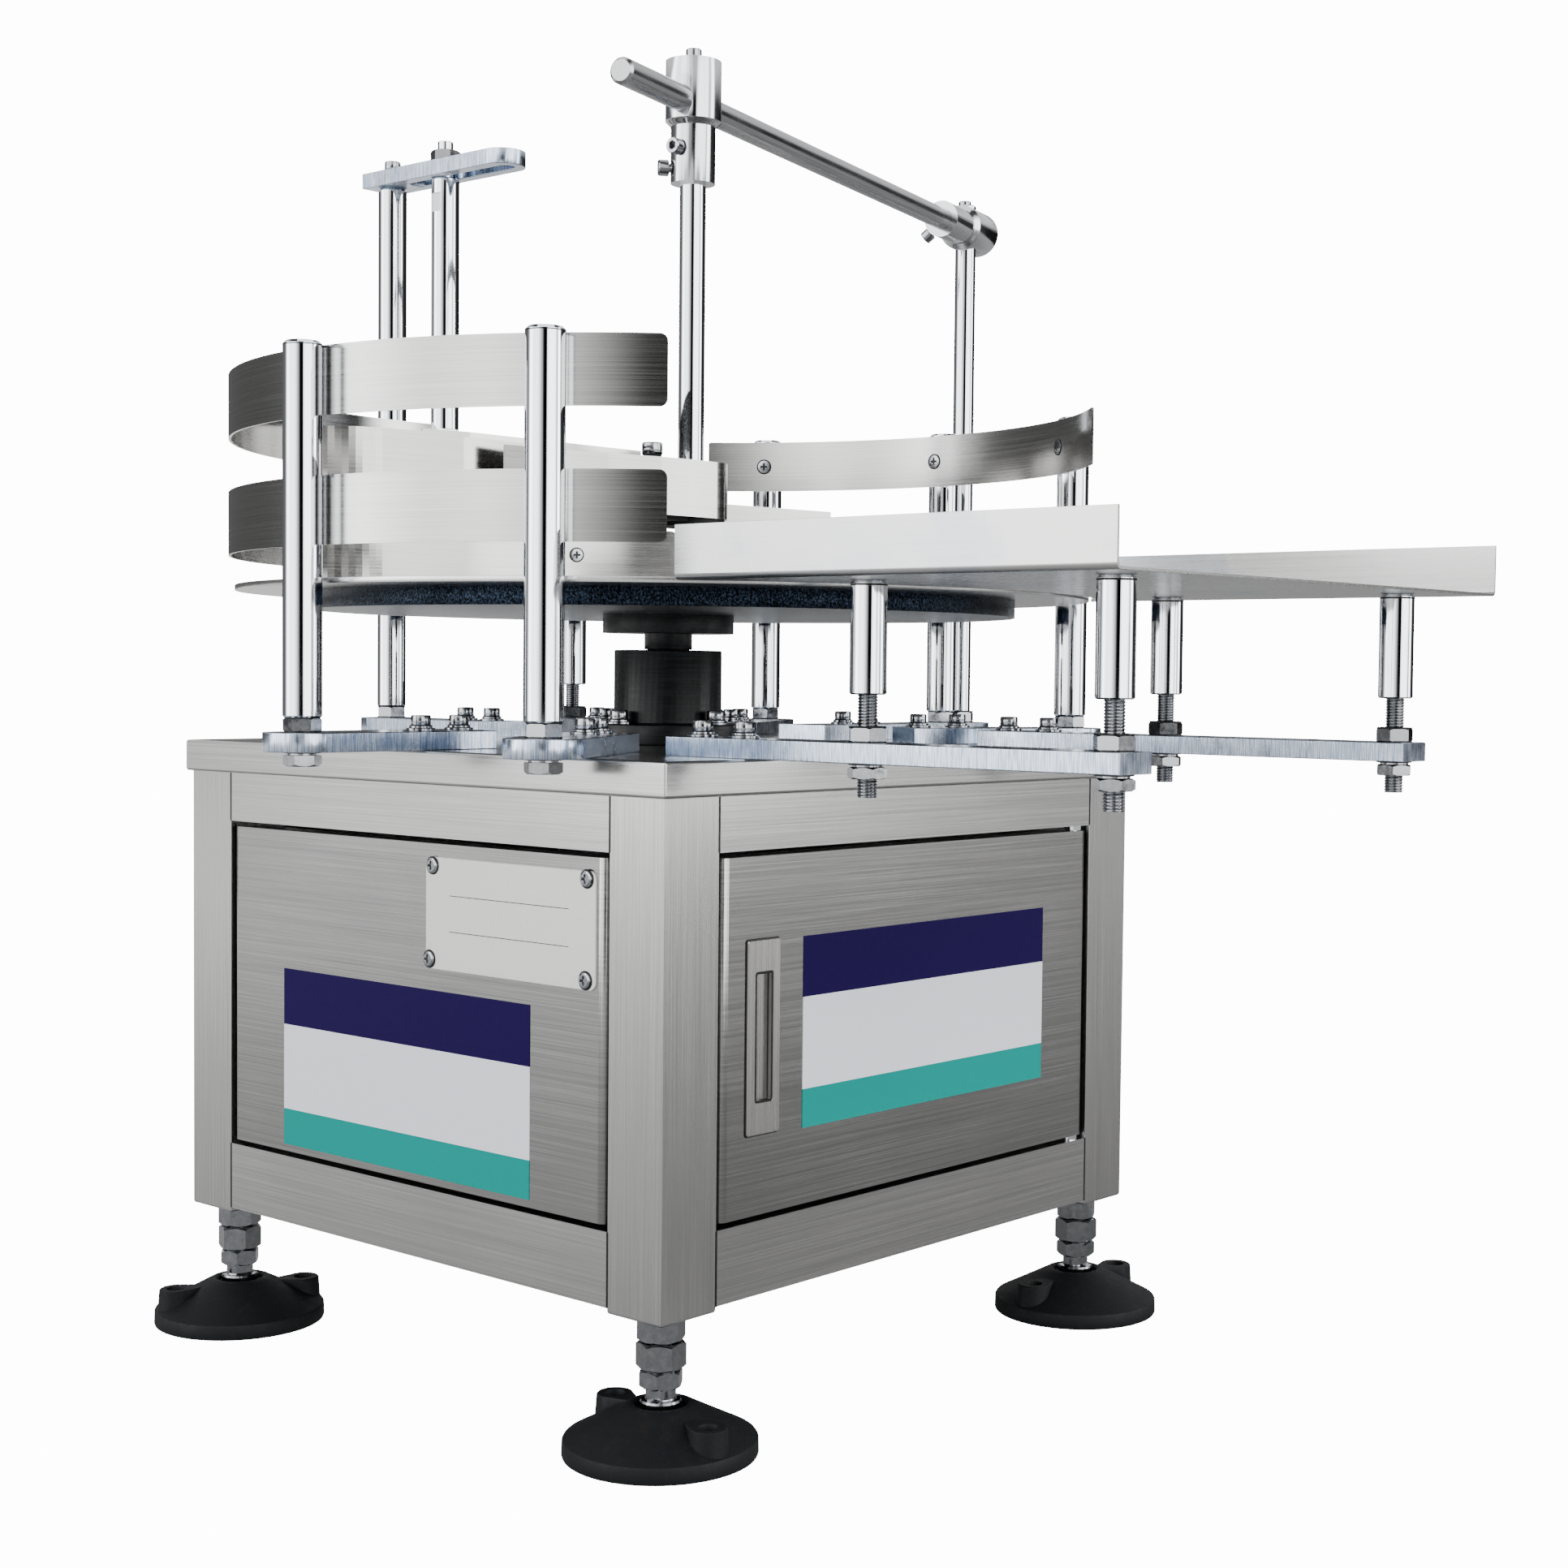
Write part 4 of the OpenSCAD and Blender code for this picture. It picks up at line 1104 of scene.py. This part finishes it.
# Widths are shares of the screw's radius. Heights are in mm, or shares of the cross screw's height.
crossSet = {
    "edge": 0.98, "edgeUp": 0.1, "dome": (0.93, 0.7), "top": 0.72, "slot": (0.58, 0.17), "floor": 0.25,
}
clampSet = {
    "shank": 0.55, "shankZ": (-1.0, 1.6), "under": 0.94, "headZ": (2.0, 6.6), "top": 0.9, "topZ": 7.2,
    "socket": 0.95, "socketEdge": 0.2, "socketZ": (6.9, 4.2),
}


def crossScrewRings(radius, high):
    s = crossSet
    slot = crossRadius(*[radius * share for share in s["slot"]])
    domeR, domeUp = s["dome"]
    return [(radius * s["edge"], 0.0), (radius, s["edgeUp"]), (radius * domeR, high * domeUp),
            (radius * s["top"], high), (slot, high), (slot, high * s["floor"])]


def clampScrewRings(radius):
    s = clampSet
    socket = hexRadius(radius * s["socket"])
    rings = [(radius * s["shank"], z) for z in s["shankZ"]]
    rings += [(radius * s["under"], s["shankZ"][1])]
    rings += [(radius, z) for z in s["headZ"]]
    rings += [(radius * s["top"], s["topZ"]), (lambda a: socket(a) + s["socketEdge"], s["topZ"])]
    return rings + [(socket, z) for z in s["socketZ"]]


def makeBandScrews(s):
    screw = turned("crossScrewTemplate", crossScrewRings(*s["bandScrew"]), fastenerNickel, crease=25)
    # Black ring round each countersunk head and black cross in its recess: painted shade
    sinkShade = paintedShadeRing("sinkTemplate", *s["bandSinkShade"])
    slot = turned("slotTemplate", [(crossRadius(*s["slot"]), z) for z in s["slotShadeZ"]], hubBlackAndShade)
    holes = [(a, s["backZ"]) for a in layout["backs"]]
    holes += [(a, z) for a in (*layout["guards"], layout["tall"]) for z in (s["lowZ"], s["highZ"])]
    holes += [(layout["low"], s["lowZ"])]
    spots = [(around(bandSet["inner"], a, z), facing(a + 180)) for a, z in holes]
    placeCopies("bandScrews", screw, spots, "cabinet")
    placeCopies("bandSinks", sinkShade, spots, "cabinet")
    placeCopies("bandSlots", slot, spots, "cabinet")
    drop(screw, sinkShade, slot)


def makePlateScrews(s):
    screw = turned("plateScrewTemplate", crossScrewRings(*s["plateScrew"]), fastenerNickel, crease=25)
    # Black ring of painted shade round each plate screw's countersink
    sinkShade = paintedShadeRing("plateSinkTemplate", *s["plateSinkShade"])
    spots = [((-layout["face"] - s["plateFront"], y, z), facing(180)) for y, z in s["plate"]]
    placeCopies("plateScrews", screw, spots, "cabinet")
    placeCopies("plateSinks", sinkShade, spots, "cabinet")
    drop(screw, sinkShade)


def makeClampScrews(s):
    screw = turned("clampScrewTemplate", clampScrewRings(s["clampR"]), fastenerNickel, crease=30)
    x, y = layout["drop"]
    spots = []
    for angle, height in s["neck"]:
        outX, outY, z = around(s["neckR"], angle, height)
        spots.append(((x + outX, y + outY, z), facing(angle)))
    spots.append(((x, y, s["neckTop"]), flatTurn(0)))
    placeCopies("rodClampScrews", screw, spots, "rod_clamp")
    way = math.radians(layout["rodTurn"])
    flat, down = s["tilt"]
    out = Vector((flat * math.sin(way), -flat * math.cos(way), -down)).normalized()
    along = Vector((math.cos(way), math.sin(way), 0))
    base = Vector((layout["liftX"], 0, layout["rodZ"])) + along * s["tiltOut"] + out * s["tiltUp"]
    cap = Vector((layout["liftX"], 0, s["capZ"])) + along * s["capOut"]
    spots = [(tuple(base), tuple(out.to_track_quat("Z", "Y").to_euler())), (tuple(cap), flatTurn(0))]
    placeCopies("postClampScrews", screw, spots, "swing_clamp")
    nose = turned("noseScrewTemplate", s["nose"], fastenerNickel)
    placeCopies("noseScrew", nose, [((s["noseX"], y, 0), flatTurn(0))], "finger")
    drop(screw, nose)


makeBandScrews(smallSet)
makePlateScrews(smallSet)
makeClampScrews(smallSet)
print("small screws placed")

# Levelling feet: moulded pad with teardrop lugs, turned stud with jam nuts
footSet = {
    "out": 177.75,
    "corners": {  # side along x and y, turn of the lugs
        "front_left": (-1, -1, 84), "front_right": (1, -1, -7),
        "rear_left": (-1, 1, 155), "rear_right": (1, 1, 60)},
    "pad": [(46.0, 0.0), (48.6, 0.5), (49.0, 1.4), (48.8, 8.0), (48.3, 8.9), (47.0, 9.6), (40.0, 13.2),
            (30.0, 18.4), (23.0, 22.1), (19.0, 24.2), (17.0, 25.3), (15.2, 25.9), (13.9, 25.7),
            (13.0, 24.8), (12.6, 23.0)],
    "lugOut": 37.0, "lugR": 9.4, "lugSweep": 105, "lugSteps": 24, "lugTip": (15.0, 0.0),
    "lugLevels": [(1.14, 3.0), (1.0, 21.4), (0.94, 22.0)],  # growth, height
    "hole": [(4.5, -2.0), (4.5, 19.5), (5.7, 23.0)],
    "ball": [(8.0, 20.0), (10.2, 23.2), (10.4, 26.8), (9.8, 27.8), (7.9, 28.2)],
    "neckR": 7.6, "neckFlat": 6.0, "neckZ": (28.8, 33.6),
    "hex": 20, "hexFace": 9.4, "hexFall": 0.75, "hexZ": (33.8, 43.0),
    "stem": [(7.0, 43.0), (7.0, 128.0)], "studTurn": 12, "bore": 7.06,
    "nut": (22, 13.0), "nutZ": 43.6, "nutTurn": 10,
    "jam": (21.4, 12.4), "jamZ": 57.4, "jamTurn": 27,
}


def lugSections(s):
    sections = []
    for grow, z in s["lugLevels"]:
        radius = s["lugR"] * grow
        section = []
        for i in range(s["lugSteps"] + 1):
            a = math.radians(-s["lugSweep"] + 2 * s["lugSweep"] * i / s["lugSteps"])
            section.append((s["lugOut"] + radius * math.cos(a), radius * math.sin(a), z))
        section.append((*s["lugTip"], z))
        sections.append(section)
    return sections


def makePad(name, s):
    pad = turned(name, s["pad"], footNylon, 96, crease=50)
    for side in (0, math.pi):
        lug = moved(loft("lug", lugSections(s), footNylon, crease=50), (0, 0, 0), side)
        out = (s["lugOut"] * math.cos(side), s["lugOut"] * math.sin(side), 0)
        hole = moved(turned("hole", s["hole"], footNylon), out)
        for tool, operation in ((lug, "UNION"), (hole, "DIFFERENCE")):
            cut = pad.modifiers.new("cut", "BOOLEAN")
            cut.operation = operation
            cut.object = tool
            plainCopy(pad)
            drop(tool)
    pad.data.shade_smooth()
    pad.data.set_sharp_from_angle(angle=math.radians(32))
    pad.data.materials.clear()
    pad.data.materials.append(footNylon)
    return pad


def footStudRings(s):
    low, high = s["hexZ"]
    corner = hexRadius(s["hex"])

    def neck(a):
        return min(s["neckR"], s["neckFlat"] / max(abs(math.sin(a)), 1e-6))

    def fall(a):
        return (corner(a) - s["hexFace"]) * s["hexFall"]

    return [*s["ball"], *[(neck, z) for z in s["neckZ"]], (s["hexFace"], low),
            (corner, lambda a: low + fall(a)), (corner, lambda a: high - fall(a)), (s["hexFace"], high),
            *s["stem"]]


def makeFeet(s):
    places = []
    for corner, (sideX, sideY, turn) in s["corners"].items():
        x = sideX * s["out"]
        y = sideY * s["out"]
        places.append((x, y))
        pad = moved(makePad("pad_" + corner, s), (x, y, 0), math.radians(turn))
        attach(pad, "foot_" + corner, "foot_pad_" + corner)
        stud = turned("stud_" + corner, footStudRings(s), fastenerNickel, crease=20)
        moved(stud, (x, y, 0), math.radians(turn + s["studTurn"]))
        attach(stud, "foot_" + corner, "foot_stud_" + corner)
    nut = hexNut("footNutTemplate", *s["nut"], s["bore"])
    jam = hexNut("footJamTemplate", *s["jam"], s["bore"])
    nuts = [((x, y, s["nutZ"]), flatTurn(s["nutTurn"])) for x, y in places]
    jams = [((x, y, s["jamZ"]), flatTurn(s["jamTurn"])) for x, y in places]
    placeCopies("footNuts", nut, nuts, "cabinet", "foot_lock_nuts")
    placeCopies("footJamNuts", jam, jams, "cabinet")
    drop(nut, jam)


makeFeet(footSet)
print("feet made")

# Door handle: flush pull cup with thin black rings of painted shade round the plate and the opening
handleSet = {
    "x": -126.75, "z": 204.5, "plate": (24, 99), "opening": (12, 65),
    "cup": [  # outline, growth, corner radius, depth
        ("opening", 0.8, 1.2, 10.8), ("opening", 0.8, 1.2, 0.0), ("plate", 0, 1.4, 0.0),
        ("plate", 0, 1.4, -1.0), ("plate", -1.0, 1.2, -1.5), ("opening", 1.6, 1.4, -1.5),
        ("opening", 0.8, 1.2, -1.0), ("opening", 0, 1.0, 2.6), ("opening", -0.6, 0.8, 2.6),
        ("opening", -1.0, 0.8, 1.6)],
    # The next two rings are thin black rings of painted shade, round the plate and round the opening
    "rim": [("plate", -1, 1.4, 0.05), ("plate", 1.2, 1.8, 0.05), ("plate", 1.2, 1.8, -0.2),
            ("plate", -1, 1.4, -0.2)],
    "gap": [("opening", -0.9, 0.8, -1.3), ("opening", 0.9, 1.4, -1.3), ("opening", 0.9, 1.4, -1.54),
            ("opening", -0.9, 0.8, -1.54)],
}


def roundRect(width, height, radius, count=6):
    points = []
    for cx, cz, start in ((1, 1, 0), (-1, 1, 90), (-1, -1, 180), (1, -1, 270)):
        for i in range(count + 1):
            a = math.radians(start + 90 * i / count)
            points.append((cx * (width / 2 - radius) + radius * math.cos(a),
                           cz * (height / 2 - radius) + radius * math.sin(a)))
    return points


def makeHandle(s):
    def section(outline, grow, radius, depth):
        width, height = s[outline]
        points = roundRect(width + grow, height + grow, radius)
        return [(s["x"] + px, depth - layout["face"], s["z"] + pz) for px, pz in points]

    handle = loft("flushHandle", [section(*ring) for ring in s["cup"]], handleSheet, crease=25)
    attach(handle, "door", "door_handle")
    # Black rings of painted shade round the plate and the opening
    handleShadeParts = [loft(key, [section(*ring) for ring in s[key]], hubBlackAndShade, True) for key in ("rim", "gap")]
    attach(joinPieces("handleGaps", handleShadeParts), "door")


makeHandle(handleSet)

# Blank name plate with rounded corners and two plain rules
plateSet = {
    "y": -84.5, "z": 259.25, "size": (131, 59.5), "corner": 4.5,
    "levels": [(0, 0), (0, 0.7), (0.35, 1.0)],  # inset, height
    "rules": (10.0, -9.0), "ruleHalf": (46, 0.2), "ruleHigh": (0.9, 1.06),
}


def makeNamePlate(s):
    width, height = s["size"]
    sections = []
    for inset, out in s["levels"]:
        outline = roundRect(width - 2 * inset, height - 2 * inset, s["corner"] - inset)
        sections.append([(-layout["face"] - out, s["y"] + py, s["z"] + pz) for py, pz in outline])
    plate = loft("blankPlate", sections, plateAluminium, crease=25)
    attach(plate, "cabinet", "nameplate")
    back, front = [-layout["face"] - high for high in s["ruleHigh"]]
    long, thin = s["ruleHalf"]
    rules = []
    for rule in s["rules"]:
        z = s["z"] + rule
        outline = ((back, z - thin), (front, z - thin), (front, z + thin), (back, z + thin))
        sections = [[(x, s["y"] + end, pz) for x, pz in outline] for end in (-long, long)]
        rules.append(loft("rule", sections, hubBlackAndShade))
    attach(joinPieces("plateRules", rules), "cabinet")


makeNamePlate(plateSet)

# Dark joint lines where the rails butt against the corner posts: black strips that mark the joints, with
# painted shade for the gaps in them
seamShadeSet = {"edge": 158.75, "wide": 0.65, "proud": 0.06, "deep": 0.6, "rails": ((73, 111), (299, 327))}


def makeSeamShades(s):
    front = -layout["face"] - s["proud"]
    back = -layout["face"] + s["deep"]
    lines = []
    for quarter in range(4):
        for x in (-s["edge"], s["edge"]):
            left = x - s["wide"]
            right = x + s["wide"]
            outline = [(left, front), (right, front), (right, back), (left, back)]
            for heights in s["rails"]:
                line = loft("seam", [[(px, py, z) for px, py in outline] for z in heights], hubBlackAndShade)
                lines.append(moved(line, (0, 0, 0), quarter * math.pi / 2))
    attach(joinPieces("frameSeams", lines), "cabinet")


makeSeamShades(seamShadeSet)

# Plain stickers on the door and on the left panel
stickerSet = {
    "thick": 0.25,
    "door": {"run": (-96, 112.5), "heights": (153.5, 253)},
    "side": {"run": (107, -101), "heights": (118, 218)},
}


def makeSticker(name, body, s, place, thick):
    first, last = s["run"]
    low, high = s["heights"]
    outline = ((first, low), (last, low), (last, high), (first, high))
    depths = (-layout["face"], -layout["face"] - thick)
    vinyl = printedVinyl(name + "Vinyl", s["heights"], vinylSet)
    sections = [[place(run, depth, z) for run, z in outline] for depth in depths]
    label = loft(name, sections, vinyl, crease=20)
    attach(label, body)


makeSticker("doorSticker", "door", stickerSet["door"], lambda run, depth, z: (run, depth, z),
            stickerSet["thick"])
makeSticker("sideSticker", "cabinet", stickerSet["side"], lambda run, depth, z: (depth, run, z),
            stickerSet["thick"])
print("handle, plate, joint lines and stickers made")
